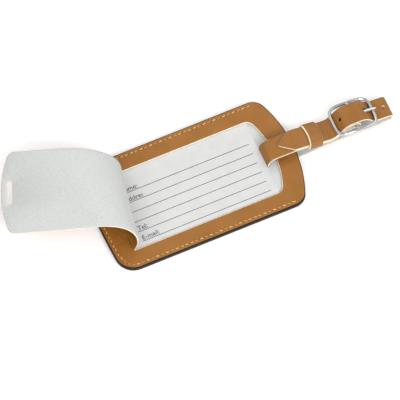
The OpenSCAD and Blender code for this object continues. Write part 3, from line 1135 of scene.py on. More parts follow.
@dataclass
class CoverFlap:
    """The flap: one leather sheet backed with felt, curled along the fan of creases.

    It is built as one length between each pair of neighbouring bodies, each shaped round the
    crease in its middle, so the whole lies in one smooth curl at rest.
    """

    plan: Plan
    fan: Fan
    bevel: float = 0.12
    slot_r: float = 1.3
    rows: int = 10
    names: list[str] = field(
        default_factory=lambda: ["tag", *[f"flap_{k}" for k in range(1, 9)], "flap_end"]
    )

    @property
    def edge(self) -> float:
        """Half the flap's width."""
        return self.plan.half_window - self.plan.cut_gap

    def columns(self) -> list[float]:
        """Places across the flap, from the near edge to the far edge."""
        inner = self.edge - self.bevel
        return [-self.edge, *[inner * (i / 12 - 1) for i in range(25)], self.edge]

    def section(self) -> list[tuple[float, float, Finishes]]:
        """The flap's closed section: place across, offset from the middle, finish to the next.

        Returns:
            The section's corners, in order.
        """
        half, side = self.fan.sheet_t / 2, self.fan.sheet_t / 2 - self.bevel
        across = self.columns()
        felt = [(y, -half, Finishes.FELT) for y in across[1:-1]]
        hide = [(y, half, Finishes.LEATHER) for y in reversed(across[1:-1])]
        felt[-1] = (*felt[-1][:2], Finishes.CUT)
        hide[-1] = (*hide[-1][:2], Finishes.CUT)
        near, far = -self.edge, self.edge
        turn_far = [(far, -side, Finishes.CUT), (far, side, Finishes.CUT)]
        turn_near = [(near, side, Finishes.CUT), (near, -side, Finishes.CUT)]
        return [*felt, *turn_far, *hide, *turn_near]

    def middle(self, places: Sequence[Matrix], k: int, y: float, t: float) -> Vector:
        """Point of the flap's middle surface in length k.

        Args:
            places: The rest transforms on each side of the creases.
            k: The crease in the middle of the length.
            y: Place across the flap.
            t: Place along the length, from 0 to 1.

        Returns:
            The point in the row frame, in millimetres.
        """
        z = self.fan.mid_z
        a = places[k] @ Vector((self.fan.border(k - 1, y), y, z))
        c = places[k] @ Vector((self.fan.crease(k, y), y, z))
        e = places[k + 1] @ Vector((self.fan.border(k, y), y, z))
        return a * (1 - t) ** 2 + c * (2 * t * (1 - t)) + e * t * t

    def length(self, places: Sequence[Matrix], k: int) -> bpy.types.Object:
        """Builds the flap's length across crease k, shaped in its rest curl.

        Args:
            places: The rest transforms on each side of the creases.
            k: The crease in the middle of the length.

        Returns:
            The object, ready in its place.
        """
        mesh = MeshBuilder()
        section = self.section()
        step = 1e-3
        rows = []
        for i in range(self.rows + 1):
            t = (1 - math.cos(math.pi * i / self.rows)) / 2
            ring = []
            for y, offset, _ in section:
                spot = self.middle(places, k, y, t)
                ahead = self.middle(places, k, y, min(1.0, t + step)) - self.middle(
                    places, k, y, max(0.0, t - step)
                )
                beside = self.middle(places, k, y + step, t) - self.middle(places, k, y - step, t)
                ring.append(tuple(spot + ahead.cross(beside).normalized() * offset))
            rows.append(mesh.add(ring))
        for a, b in zip(rows, rows[1:]):
            mesh.bridge(a, b, lambda n: section[n][2], True)
        made = mesh.make(f"cover_flap_curl_{k + 1}")
        start, end = self.bend_span(places, k)
        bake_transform(made)
        return made

    def bend_span(self, places: Sequence[Matrix], k: int) -> tuple[Point3, Point3]:
        """Where the bend of length k starts and ends.

        Args:
            places: The rest transforms on each side of the creases.
            k: The crease in the middle of the length.

        Returns:
            Two points in metres, the planes through which part this length from its neighbours.
        """
        ends = [tuple(self.middle(places, k, y, t) for t in (0, 1)) for y in self.columns()]
        pivot = places[k] @ Vector((self.fan.crease(k, 0), 0, self.fan.mid_z))
        along = places[k].to_3x3() @ self.fan.direction(k)
        chord = sum((b - a for a, b in ends), Vector()) / len(ends)
        across = (chord - along * chord.dot(along)).normalized()
        low = max((a - pivot).dot(across) for a, _ in ends)
        high = min((b - pivot).dot(across) for _, b in ends)
        return tuple((pivot + across * low) * MM), tuple((pivot + across * high) * MM)

    def panel(self, place: Matrix) -> bpy.types.Object:
        """Builds the flat free end, with the slot that goes over the strap.

        Args:
            place: The rest transform beyond the last crease.

        Returns:
            The object, ready in its place.
        """
        mesh, plan, fan = MeshBuilder(), self.plan, self.fan
        last = fan.count - 1
        half, side = fan.sheet_t / 2, fan.sheet_t / 2 - self.bevel
        levels = [(plan.cut_gap + self.bevel, -half), (plan.cut_gap, -side), (plan.cut_gap, side)]
        levels.append((plan.cut_gap + self.bevel, half))
        loops = []
        for d, offset in levels:
            y = plan.half_window - d
            shape = plan.rim(d, fan.border(last, -y), fan.border(last, y))
            loops.append(mesh.add((x, q, fan.mid_z + offset) for x, q in shape))
        for a, b in zip(loops, loops[1:]):
            mesh.bridge(a, b, Finishes.CUT, False)
        slots = [self.slot_loop(mesh, grow, fan.mid_z + z) for grow, z in self.slot_steps(half)]
        for a, b in zip(slots, slots[1:]):
            mesh.bridge(a, b, Finishes.CUT, True)
        seam = list(reversed(self.columns()[2:-2]))
        for loop, slot, offset, worn in (
            (loops[0], slots[0], -half, Finishes.FELT),
            (loops[-1], slots[-1], half, Finishes.LEATHER),
        ):
            line = mesh.add((fan.border(last, y), y, fan.mid_z + offset) for y in seam)
            mesh.fill([*loop, *line], [slot], worn)
        made = mesh.make("cover_flap_panel", place)
        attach(made, self.names[-1])
        return made

    def slot_steps(self, half: float) -> list[tuple[float, float]]:
        """How far the slot's edge stands out, and at what offset, from the felt to the leather."""
        side = half - self.bevel
        return [(self.bevel, -half), (0.0, -side), (0.0, side), (self.bevel, half)]

    def slot_loop(self, mesh: MeshBuilder, grow: float, z: float) -> list[int]:
        """Adds one loop of the round-ended strap slot.

        Args:
            mesh: The panel's mesh.
            grow: How far outside the slot's wall it runs.
            z: The loop's height.

        Returns:
            The loop's point numbers.
        """
        r = self.slot_r + grow
        run = self.plan.slot_l / 2 - self.slot_r
        x = -self.plan.slot_inset
        shape = arc(x, run, r, 0, 180, 12) + arc(x, -run, r, 180, 360, 12)
        return mesh.add((p, q, z) for p, q in shape)

    def build(self) -> list[bpy.types.Object]:
        """Builds the whole flap, in the order from the hinge to the free end.

        Returns:
            The flap's lengths and its flat end.
        """
        places = self.fan.places()
        made = [self.length(places, k) for k in range(self.fan.count)]
        for k, piece in enumerate(made[1:], start=1):
            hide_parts(f"flap_strip_{k}")
        made.append(self.panel(places[-1]))
        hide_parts("flap_panel")
        return made


# ---- the card --------------------------------------------------------------------------------


@dataclass
class AddressCard:
    """The paper card: a slightly bowed sheet with ruled lines and plain form labels."""

    plan: Plan
    length: float = 90.0
    width: float = 54.0
    paper_t: float = 0.3
    inset: float = 18.75
    base_z: float = 2.15
    bow: float = 0.08
    rule_w: float = 0.34
    rule_first: float = 11.1
    rule_pitch: float = 6.3
    rule_end_x: float = -22.9
    label_x: float = -101.5
    type_mm: float = 4.0
    labels: tuple[str, ...] = ("Name:", "Address:", "", "", "Tel:", "E-mail:")

    def top(self, x: float, y: float) -> float:
        """Height of the card's face."""
        share = (x + self.inset + self.length / 2) / (self.length / 2)
        return self.base_z + self.paper_t + self.bow * (1 - min(1.0, share * share))

    def sheet(self) -> bpy.types.Object:
        """Builds the paper.

        Returns:
            The object, ready in its place.
        """
        mesh = MeshBuilder()
        nx, ny = 30, 12
        xs = [-self.inset - self.length * (1 - i / nx) for i in range(nx + 1)]
        ys = [self.width * (j / ny - 0.5) for j in range(ny + 1)]
        tops = [mesh.add((x, y, self.top(x, y)) for y in ys) for x in xs]
        lows = [mesh.add((x, y, self.top(x, y) - self.paper_t) for y in ys) for x in xs]
        for a, b, c, d in zip(tops, tops[1:], lows, lows[1:]):
            mesh.bridge(a, b, Finishes.CARD, False)
            mesh.bridge(c, d, Finishes.CARD, False)
            for n in (0, -1):
                mesh.face((a[n], b[n], d[n], c[n]), Finishes.CARD)
        for n in (0, -1):
            mesh.bridge(tops[n], lows[n], Finishes.CARD, False)
        made = mesh.make("paper_address_card", self.plan.lying)
        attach(made, "card")
        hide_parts("address_card")
        return made

    def rules(self) -> bpy.types.Object:
        """Builds the printed lines as thin ribbons of ink.

        Returns:
            The object, ready in its place.
        """
        mesh = MeshBuilder()
        steps, start = 24, self.label_x - 0.5
        xs = [start + (self.rule_end_x - start) * i / steps for i in range(steps + 1)]
        for n in range(len(self.labels)):
            y = self.rule_first - n * self.rule_pitch
            rows = []
            for side, lift in ((-1, 0.004), (-1, 0.02), (1, 0.02), (1, 0.004)):
                edge = y + side * self.rule_w / 2
                rows.append(mesh.add((x, edge, self.top(x, edge) + lift) for x in xs))
            for a, b in zip(rows, [*rows[1:], rows[0]]):
                mesh.bridge(a, b, Finishes.INK, False)
            for end in (0, -1):
                mesh.face([row[end] for row in rows], Finishes.INK)
        made = mesh.make("card_ruled_lines", self.plan.lying)
        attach(made, "card")
        return made

    def label(self, words: str, number: int) -> bpy.types.Object:
        """Sets one form label on its line.

        Args:
            words: The label.
            number: The line's number from the top.

        Returns:
            The letters as a thin mesh.
        """
        name = f"card_label_{number + 1}"
        curve = bpy.data.curves.new(name, "FONT")
        curve.body, curve.size = words, 1.0
        curve.extrude, curve.offset = 0.002, 0.008
        curve.materials.append(Finishes.INK.value.material())
        shape = placed(name, curve)
        graph = bpy.context.evaluated_depsgraph_get()
        mesh = bpy.data.meshes.new_from_object(shape.evaluated_get(graph))
        bpy.data.objects.remove(shape)
        x, y = self.label_x, self.rule_first - number * self.rule_pitch + 0.75
        spot = Matrix.Translation((x, y, self.top(x, y) + 0.02))
        mesh.transform(Matrix.Scale(MM, 4) @ self.plan.lying @ spot @ Matrix.Scale(self.type_mm, 4))
        made = placed(name, mesh)
        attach(made, "card")
        return made

    def build(self) -> list[bpy.types.Object]:
        """Builds the card, its lines and its labels.

        Returns:
            The card's objects.
        """
        made = [self.sheet(), self.rules()]
        made += [self.label(words, n) for n, words in enumerate(self.labels) if words]
        return made


# ---- the strap -------------------------------------------------------------------------------


@dataclass(frozen=True)
class StrapRoute:
    """Side view of the buckled strap, in millimetres: the middle line and what it passes."""

    plan: Plan
    width: float = 12.8
    thick: float = 1.2
    ply_gap: float = 0.15
    crest_z: float = 9.9
    run_z: float = 5.6
    tip_reach: float = 9.3
    tip_l: float = 7.9
    tip_blunt: float = 0.7
    bar_x: float = 36.5
    bar_z: float = 12.4
    bar_d: float = 2.2
    wire: float = 2.2
    frame_l: float = 26.6
    frame_bow: float = 0.8
    frame_tilt: float = 5.0
    loop_tail: float = 10.6
    loop_low: float = 2.9
    loop_high: float = 7.5
    tab_l: float = 4.6
    bar_gap: float = 0.2
    dome_gap: float = 0.2
    tab_r: float = 1.2
    fold_r: float = 3.0
    foot_r: float = 5.0
    free_foot_r: float = 4.0
    hollow_r: float = 8.0
    crest_r: float = 12.0
    over_slot_r: float = 4.5
    slot_r: float = 0.75
    below_r: float = 15.0
    under_bar_r: float = 3.0
    dome_r: float = 6.0

    @property
    def pitch(self) -> float:
        """From one ply's middle to the next."""
        return self.thick + self.ply_gap

    @property
    def wrap_r(self) -> float:
        """Middle radius of the fold round the centre bar."""
        return self.bar_d / 2 + self.ply_gap + self.thick / 2

    @property
    def frame_half(self) -> float:
        """From the centre bar to the frame's outer bar."""
        return (self.frame_l - self.wire) / 2

    @property
    def outer_bar(self) -> Point2:
        """The outer bar's centre, along X and up.

        Returns:
            The place along X and the height.
        """
        t = math.radians(self.frame_tilt)
        x = self.bar_x + self.frame_half * math.cos(t) - self.frame_bow * math.sin(t)
        return x, self.bar_z - self.frame_half * math.sin(t) - self.frame_bow * math.cos(t)

    @property
    def rise(self) -> tuple[float, float, float]:
        """The rising stretch of the fixed ply: its foot, its head and its angle in radians."""
        foot, head = self.bar_x - 13, self.bar_x - 5
        return foot, head, math.atan2(self.bar_z + self.wrap_r - self.run_z, head - foot)

    @property
    def fall(self) -> tuple[float, float, float]:
        """The falling stretch from the crest: its head, its foot and its angle in radians."""
        head, foot = 1.0, self.rise[0] - 4.5
        return head, foot, math.atan2(self.crest_z - self.run_z, foot - head)

    def corners(self) -> list[tuple[float, float, float]]:
        """Corners of the middle line: along X, up, and the radius that rounds each.

        Returns:
            The corners from the fold's short tab to the pointed end.
        """
        foot, head, rise = self.rise
        top, low, fall = self.fall
        fixed_top, tab_low = self.bar_z + self.wrap_r, self.bar_z - self.wrap_r
        shift_x, shift_z = self.pitch * math.sin(rise), -self.pitch * math.cos(rise)
        tab_x = foot + shift_x + (tab_low - self.run_z - shift_z) / math.tan(rise)
        ground = self.thick / 2
        bar_x, bar_z = self.outer_bar
        loop_x = bar_x + self.loop_tail - self.thick / 2
        loop_r = (self.loop_high - self.loop_low) / 2 - 0.05
        under_z = bar_z - self.wire / 2 - self.bar_gap - self.thick / 2
        dome_z, dome_x = fixed_top + self.pitch + self.dome_gap, head - 0.6
        foot_x = foot - self.pitch * math.tan(rise / 2)
        shift = self.pitch * math.tan(fall / 2)
        slot = -self.plan.slot_inset
        return [
            (tab_x - self.tab_l * math.cos(rise), tab_low - self.tab_l * math.sin(rise), 0),
            (tab_x, tab_low, self.tab_r),
            (self.bar_x + self.wrap_r, tab_low, self.wrap_r),
            (self.bar_x + self.wrap_r, fixed_top, self.wrap_r),
            (head, fixed_top, self.fold_r),
            (foot, self.run_z, self.foot_r),
            (low, self.run_z, self.hollow_r),
            (top, self.crest_z, self.crest_r),
            (slot, self.crest_z, self.over_slot_r),
            (slot, ground, self.slot_r),
            (6, ground, self.below_r),
            (15, 2.3, self.below_r),
            (loop_x, self.loop_low, loop_r),
            (loop_x, self.loop_high, loop_r),
            (bar_x - 1.2, under_z, self.under_bar_r),
            (self.bar_x + 5.4, dome_z, self.dome_r),
            (dome_x, dome_z, self.dome_r),
            (foot_x, self.run_z + self.pitch, self.free_foot_r),
            (low + shift, self.run_z + self.pitch, self.hollow_r),
            (top + shift, self.crest_z + self.pitch, self.crest_r),
            (-self.tip_reach, self.crest_z + self.pitch, 0),
        ]

    def stations(self) -> list[tuple[Vector, Vector]]:
        """Places along the middle line, each with the unit normal on its left.

        Returns:
            The places from the fold's short tab to the pointed end.
        """
        line = self.corners()
        spots = [Vector(line[0][:2])]
        for p, q, r in zip(line, line[1:], line[2:]):
            corner = Vector(q[:2])
            u = (corner - Vector(p[:2])).normalized()
            v = (Vector(r[:2]) - corner).normalized()
            turn = u.x * v.y - u.y * v.x
            bend = math.acos(max(-1.0, min(1.0, u.dot(v))))
            sign = 1 if turn > 0 else -1
            left = Vector((-u.y, u.x))
            centre = corner - u * (q[2] * math.tan(bend / 2)) + left * (sign * q[2])
            arm = -left * (sign * q[2])
            steps = max(3, math.ceil(math.degrees(bend) / 6))
            for i in range(steps + 1):
                a = sign * bend * i / steps
                turned = (
                    arm.x * math.cos(a) - arm.y * math.sin(a),
                    arm.x * math.sin(a) + arm.y * math.cos(a),
                )
                spots.append(centre + Vector(turned))
        spots.append(Vector(line[-1][:2]))
        return self.with_normals(self.filled(spots))

    @staticmethod
    def filled(spots: Sequence[Vector], gap: float = 1.6) -> list[Vector]:
        """The same line with its long straights divided.

        Args:
            spots: The line's places.
            gap: The longest step left.

        Returns:
            The places, with more of them on the straights.
        """
        out = [spots[0]]
        for a, b in zip(spots, spots[1:]):
            run = (b - a).length
            if run < 1e-6:
                continue
            pieces = max(1, math.ceil(run / gap))
            out += [a.lerp(b, i / pieces) for i in range(1, pieces + 1)]
        return out

    @staticmethod
    def with_normals(spots: Sequence[Vector]) -> list[tuple[Vector, Vector]]:
        """Pairs each place with the normal on the line's left.

        Args:
            spots: The line's places.

        Returns:
            Each place and its normal.
        """
        out = []
        for i, spot in enumerate(spots):
            ahead = spots[min(i + 1, len(spots) - 1)] - spots[max(i - 1, 0)]
            heading = ahead.normalized()
            out.append((spot, Vector((-heading.y, heading.x))))
        return out


def crown(y: float, half: float, height: float) -> float:
    """How far a strap's middle stands above its edges."""
    return height * max(0.0, 1 - (y / half) ** 2)


@dataclass
class Strap:
    """The strap: tan leather outside, felt inside, cream cut edges, a pointed end and holes."""

    route: StrapRoute
    bevel: float = 0.1
    crown_mm: float = 0.4
    hole_r: float = 0.95
    hole_x: float = 29.0
    mark_back: float = 3.8
    mark_rise: float = 0.33
    mark_deg: float = 5.8
    slit_half: float = 1.25

    def section(self, half: float) -> list[tuple[float, float, Finishes]]:
        """Closed section of the band: place across, offset to the left, finish to the next.

        Args:
            half: Half the band's width here.

        Returns:
            The section's corners, in order.
        """
        t = self.route.thick / 2
        side = t - self.bevel
        inner = max(0.05, half - self.bevel)
        across = [inner * (i / 5 - 1) for i in range(11)]
        hide = [(y, -t, Finishes.LEATHER) for y in across]
        felt = [(y, t, Finishes.FELT) for y in reversed(across)]
        hide[-1] = (*hide[-1][:2], Finishes.CUT)
        felt[-1] = (*felt[-1][:2], Finishes.CUT)
        turn_far = [(half, -side, Finishes.CUT), (half, side, Finishes.FELT)]
        turn_near = [(-half, side, Finishes.CUT), (-half, -side, Finishes.CUT)]
        return [*hide, *turn_far, *felt, *turn_near]

    def half_width(self, x: float, end_part: bool) -> float:
        """Half the band's width: full, then narrowing to the blunt point.

        Args:
            x: Place along X.
            end_part: Whether this is the pointed end's stretch.

        Returns:
            The half width.
        """
        full = self.route.width / 2
        if not end_part:
            return full
        share = (x + self.route.tip_reach) / self.route.tip_l
        return self.route.tip_blunt + (full - self.route.tip_blunt) * max(0.0, min(1.0, share))

    def build(self) -> bpy.types.Object:
        """Builds the strap.

        Returns:
            The object, ready in its place.
        """
        mesh = MeshBuilder()
        route = self.route
        stations = self.refined(route.stations())
        rows = []
        for spot, left in stations:
            on_tip = spot.y > route.crest_z + route.pitch / 2 and spot.x < 1
            half = self.half_width(spot.x, on_tip)
            domed = smooth((26 - spot.x) / 6) * smooth((spot.y - 4) / 1.5)
            ring = []
            for y, offset, _ in self.section(half):
                p = spot + left * offset
                ring.append((p.x, y, p.y + crown(y, route.width / 2, self.crown_mm) * domed))
            rows.append(mesh.add(ring))
        kinds = [worn for _, _, worn in self.section(route.width / 2)]
        for a, b in zip(rows, rows[1:]):
            mesh.bridge(a, b, lambda n: kinds[n], True)
        for row in (rows[0], rows[-1]):
            mesh.face(row, Finishes.CUT)
        made = mesh.make("buckled_strap")
        self.cut_holes(made)
        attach(made, "strap")
        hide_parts("strap")
        return made

    def refined(self, stations: list[tuple[Vector, Vector]]) -> list[tuple[Vector, Vector]]:
        """Adds a row where the pointed end starts to narrow.

        Args:
            stations: The places along the strap with their normals.

        Returns:
            The places with that row added.
        """
        root = -self.route.tip_reach + self.route.tip_l
        z = self.route.crest_z + self.route.pitch
        out = []
        for (a, na), (b, nb) in zip(stations, stations[1:]):
            out.append((a, na))
            if a.y > z - 0.4 and a.x > root > b.x:
                out.append((a.lerp(b, (a.x - root) / (a.x - b.x)), na))
        return [*out, stations[-1]]

    def cut_holes(self, strap: bpy.types.Object) -> None:
        """Cuts the punched holes, the prong's long hole and its slot in the fold. The hole by the
        tag, the long hole and the slot get dark walls of painted shade; the one by the loop end is
        cream.

        Args:
            strap: The strap.
        """
        route = self.route
        foot, head, rise = route.rise
        foot_x = foot - route.pitch * math.tan(rise / 2)
        dome_z = route.bar_z + route.wrap_r + route.pitch + route.dome_gap
        slope = (dome_z - route.run_z - route.pitch) / (head - 0.6 - foot_x)
        x = self.hole_x
        at_hole = Vector((x, 0, route.run_z + route.pitch + (x - foot_x) * slope))
        turn = Matrix.Rotation(-math.atan(slope), 4, "Y")
        # The punched hole's wall takes painted shade: a dark colour for the shade inside it
        punch = self.drill(self.hole_r, 1.3, Finishes.HOLE_SHADE)
        self.cut(strap, punch, Matrix.Translation(at_hole) @ turn)
        mark_x = route.outer_bar[0] + route.loop_tail - self.mark_back
        at_mark = Vector((mark_x, 0, route.loop_high + self.mark_rise))
        turn = Matrix.Rotation(math.radians(self.mark_deg), 4, "Y")
        slit = (-self.slit_half, self.slit_half)
        punch = self.drill(self.hole_r, 1.7, Finishes.CUT)
        self.cut(strap, punch, Matrix.Translation(at_mark) @ turn)
        bar = Matrix.Translation((route.bar_x, 0, route.bar_z))
        lie = bar @ Matrix.Rotation(math.radians(route.frame_tilt + Prong.lie_deg), 4, "Y")
        self.cut(strap, self.block((5.3, 11.3), slit, (0.9, 3.5)), lie)
        low = route.wrap_r + route.thick
        high = route.wrap_r + route.thick / 2 + route.ply_gap / 2
        self.cut(strap, self.block((-2.65, low), slit, (-low, high)), bar)

    @staticmethod
    def drill(radius: float, length: float, finish: Finishes) -> MeshBuilder:
        """A round cutter, upright about the origin, that leaves its finish on the hole.

        Args:
            radius: The cutter's radius.
            length: Its length.
            finish: The finish it leaves.

        Returns:
            The cutter.
        """
        mesh = MeshBuilder()
        ring = arc(0, 0, radius, 0, 345, 23)
        low = mesh.add((x, y, -length / 2) for x, y in ring)
        high = mesh.add((x, y, length / 2) for x, y in ring)
        mesh.bridge(low, high, finish, True)
        mesh.face(low, finish)
        mesh.face(high, finish)
        return mesh

    @staticmethod
    def block(x: Point2, y: Point2, z: Point2) -> MeshBuilder:
        """A cutter with flat sides between two places along each axis; it leaves painted shade, a
        dark colour, on the walls it cuts.

        Args:
            x: Its two ends along X.
            y: Its two ends across.
            z: Its two ends upwards.

        Returns:
            The cutter.
        """
        mesh = MeshBuilder()
        shape = [(x[0], y[0]), (x[1], y[0]), (x[1], y[1]), (x[0], y[1])]
        low = mesh.add((p, q, z[0]) for p, q in shape)
        high = mesh.add((p, q, z[1]) for p, q in shape)
        mesh.bridge(low, high, Finishes.HOLE_SHADE, True)
        mesh.face(low, Finishes.HOLE_SHADE)
        mesh.face(high, Finishes.HOLE_SHADE)
        return mesh

    @staticmethod
    def cut(target: bpy.types.Object, cutter: MeshBuilder, place: Matrix) -> None:
        """Takes a cutter's shape out of an object, leaving the cutter's finish on the cut.

        Args:
            target: The object to cut.
            cutter: The cutter's shape.
            place: The cutter's transform, in millimetres.
        """
        tool = cutter.make("cutter", place)
        change = target.modifiers.new("cut", "BOOLEAN")
        change.object = tool
        change.operation = "DIFFERENCE"
        change.solver = "EXACT"
        change.material_mode = "TRANSFER"
        graph = bpy.context.evaluated_depsgraph_get()
        cut_mesh = bpy.data.meshes.new_from_object(target.evaluated_get(graph))
        target.modifiers.clear()
        target.data = cut_mesh
        bpy.data.objects.remove(tool)


@dataclass
class Keeper:
    """The keeper: a leather ring round both plies, drawn into a bow by the strap, with its
    staple below."""

    route: StrapRoute
    at_x: float = 10.6
    width: float = 8.4
    thick: float = 1.0
    clear: float = 0.3
    room: float = 0.25
    bow: float = 1.1
    bevel: float = 0.12
    flare: float = 0.55
    corner: float = 1.5
    crown_top: float = 0.55
    crown_under: float = 0.35

    def place(self) -> Matrix:
        """The ring's place on the sloping plies.

        Returns:
            The ring's transform, in millimetres.
        """
        head, _, fall = self.route.fall
        z = self.route.crest_z + self.route.pitch / 2 - (self.at_x - head) * math.tan(fall)
        return Matrix.Translation((self.at_x, 0, z)) @ Matrix.Rotation(fall, 4, "Y")

    def path(self) -> list[tuple[Point2, Point2]]:
        """The ring seen from its end: places on its middle line, each with its outward normal.

        Returns:
            The places round the ring, in order.
        """
        a = self.route.width / 2 + self.clear + self.thick / 2
        b = self.route.thick + self.route.ply_gap / 2 + self.room + self.thick / 2
        r = self.corner
        out = []
        centres = ((a - r, b - r), (r - a, b - r), (r - a, r - b), (a - r, r - b))
        for a0, (cx, cy) in zip((0, 90, 180, 270), centres):
            for x, y in arc(cx, cy, r, a0, a0 + 90, 6):
                out.append(((x, y), ((x - cx) / r, (y - cy) / r)))
            x, y = out[-1][0]
            if a0 in (0, 180):
                run = 2 * (a - r) * (-1 if a0 == 0 else 1)
                normal = (0.0, 1.0 if a0 == 0 else -1.0)
                out += [((x + run * i / 12, y), normal) for i in range(1, 12)]
        return out

    def build(self) -> bpy.types.Object:
        """Builds the ring.

        Returns:
            The object, ready in its place.
        """
        mesh = MeshBuilder()
        half, t = self.width / 2, self.thick / 2
        side, lip = t - self.bevel, half - self.bevel
        across = [self.flare - half + (lip + half - self.flare) * i / 6 for i in range(7)]
        section = [(x, t, Finishes.LEATHER) for x in across]
        section[-1] = (*section[-1][:2], Finishes.CUT)
        section += [(half, side, Finishes.CUT), (half, -side, Finishes.CUT)]
        section += [(x, -t, Finishes.FELT) for x in reversed(across)]
        section[-1] = (*section[-1][:2], Finishes.CUT)
        section += [(-half, -side, Finishes.CUT), (-half, side - self.bevel, Finishes.CUT)]
        edge = self.route.width / 2 + self.clear + self.thick
        rows = []
        for (y, z), (ny, nz) in self.path():
            ring = []
            for x, offset, _ in section:
                q, h = y + ny * offset, z + nz * offset
                lift = crown(q, edge, self.crown_top if z > 0 else self.crown_under)
                ring.append((x + crown(q, edge, self.bow) * (1 if z > 0 else 0), q, h + lift))
            rows.append(mesh.add(ring))
        for a, b in zip(rows, [*rows[1:], rows[0]]):
            mesh.bridge(a, b, lambda n: section[n][2], True)
        made = mesh.make("leather_keeper_ring", self.place())
        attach(made, "keeper")
        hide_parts("strap_keeper")
        return made


# ---- the buckle ------------------------------------------------------------------------------


@dataclass
class BuckleFrame:
    """The cast frame: one closed bar on a barrel-shaped outline, bowed over the strap."""

    route: StrapRoute
    room: float = 1.8
    power: float = 4.4
    rings: int = 120
    sides: int = 20
    flat: float = 0.9
    depth: float = 1.0
    deep_from: float = 7.4
    deep_ease: float = 1.8

    def spot(self, a: float) -> Vector:
        """Middle of the frame's bar at angle a.

        Args:
            a: The angle in radians.

        Returns:
            The place in the frame's own space.
        """

        def rounded(v: float) -> float:
            """A cosine or sine drawn out towards its corners."""
            return math.copysign(abs(v) ** (2 / self.power), v)

        half_w = self.route.width / 2 + self.room + self.route.wire / 2
        x = self.route.frame_half * rounded(math.cos(a))
        bow = -self.route.frame_bow * (x / self.route.frame_half) ** 2
        return Vector((x, half_w * rounded(math.sin(a)), bow))

    def deepened(self, y: float) -> float:
        """How far the bar reaches below its middle: more beside the strap than across it."""
        share = smooth((abs(y) - self.deep_from) / self.deep_ease)
        return self.route.wire / 2 * self.flat + self.depth * share

    def build(self) -> bpy.types.Object:
        """Builds the frame.

        Returns:
            The object, ready in its place.
        """
        mesh = MeshBuilder()
        spots = [self.spot(2 * math.pi * (i + 0.5) / self.rings) for i in range(self.rings)]
        r = self.route.wire / 2
        rows = []
        for i, p in enumerate(spots):
            along = (spots[(i + 1) % self.rings] - spots[i - 1]).normalized()
            out = along.cross(Vector((0, 0, 1))).normalized()
            up = out.cross(along).normalized()
            ring = []
            for k in range(self.sides):
                a = 2 * math.pi * k / self.sides
                reach = self.deepened(p.y) if math.sin(a) < 0 else r * 0.95
                side = out * (r * self.flat * math.cos(a))
                ring.append(tuple(p + side + up * (reach * math.sin(a))))
            rows.append(mesh.add(ring))
        for a, b in zip(rows, [*rows[1:], rows[0]]):
            mesh.bridge(a, b, Finishes.CHROME, True)
        tilt = Matrix.Rotation(math.radians(self.route.frame_tilt), 4, "Y")
        place = Matrix.Translation((self.route.bar_x, 0, self.route.bar_z)) @ tilt
        made = mesh.make("chrome_buckle_frame", place)
        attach(made, "buckle")
        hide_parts("buckle_frame")
        return made


@dataclass
class Prong:
    """The prong: a bar curled into an eye round the centre bar, its tongue on the outer bar."""

    route: StrapRoute
    width: float = 1.8
    thick: float = 0.8
    clear: float = 0.1
    overhang: float = 2.1
    lie_deg: float = 3.995

    def build(self) -> bpy.types.Object:
        """Builds the prong.

        Returns:
            The object, ready in its place.
        """
        mesh = MeshBuilder()
        r = self.route.bar_d / 2 + self.clear + self.thick / 2
        eye = arc(0, 0, r, 395, 90, 30)
        reach = self.route.frame_half + self.overhang
        tongue = [(reach * i / 14, r - 0.25 * smooth((i / 14 - 0.86) / 0.14)) for i in range(1, 15)]
        line = [Vector(p) for p in [*eye, *tongue]]
        rows = []
        for i, spot in enumerate(line):
            heading = (line[min(i + 1, len(line) - 1)] - line[max(i - 1, 0)]).normalized()
            left = Vector((-heading.y, heading.x))
            share = max(0.0, spot.x / reach) if i >= len(eye) else 0.0
            w = self.width / 2 * (1 - 0.08 * share)
            t = self.thick / 2 * (1 - 0.15 * share)
            if i in (0, len(line) - 1):
                w, t = w * 0.6, t * 0.55
            ring = []
            for k in range(14):
                a = 2 * math.pi * k / 14
                p = spot + left * (t * math.copysign(abs(math.sin(a)) ** 0.7, math.sin(a)))
                ring.append((p.x, w * math.copysign(abs(math.cos(a)) ** 0.6, math.cos(a)), p.y))
            rows.append(mesh.add(ring))
        for a, b in zip(rows, rows[1:]):
            mesh.bridge(a, b, Finishes.CHROME, True)
        for row in (rows[0], rows[-1]):
            mesh.face(row, Finishes.CHROME)
        turn = Matrix.Rotation(math.radians(self.route.frame_tilt + self.lie_deg), 4, "Y")
        place = Matrix.Translation((self.route.bar_x, 0, self.route.bar_z)) @ turn
        made = mesh.make("chrome_buckle_prong", place)
        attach(made, "prong")
        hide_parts("buckle_prong")
        return made


# ---- the studio ------------------------------------------------------------------------------


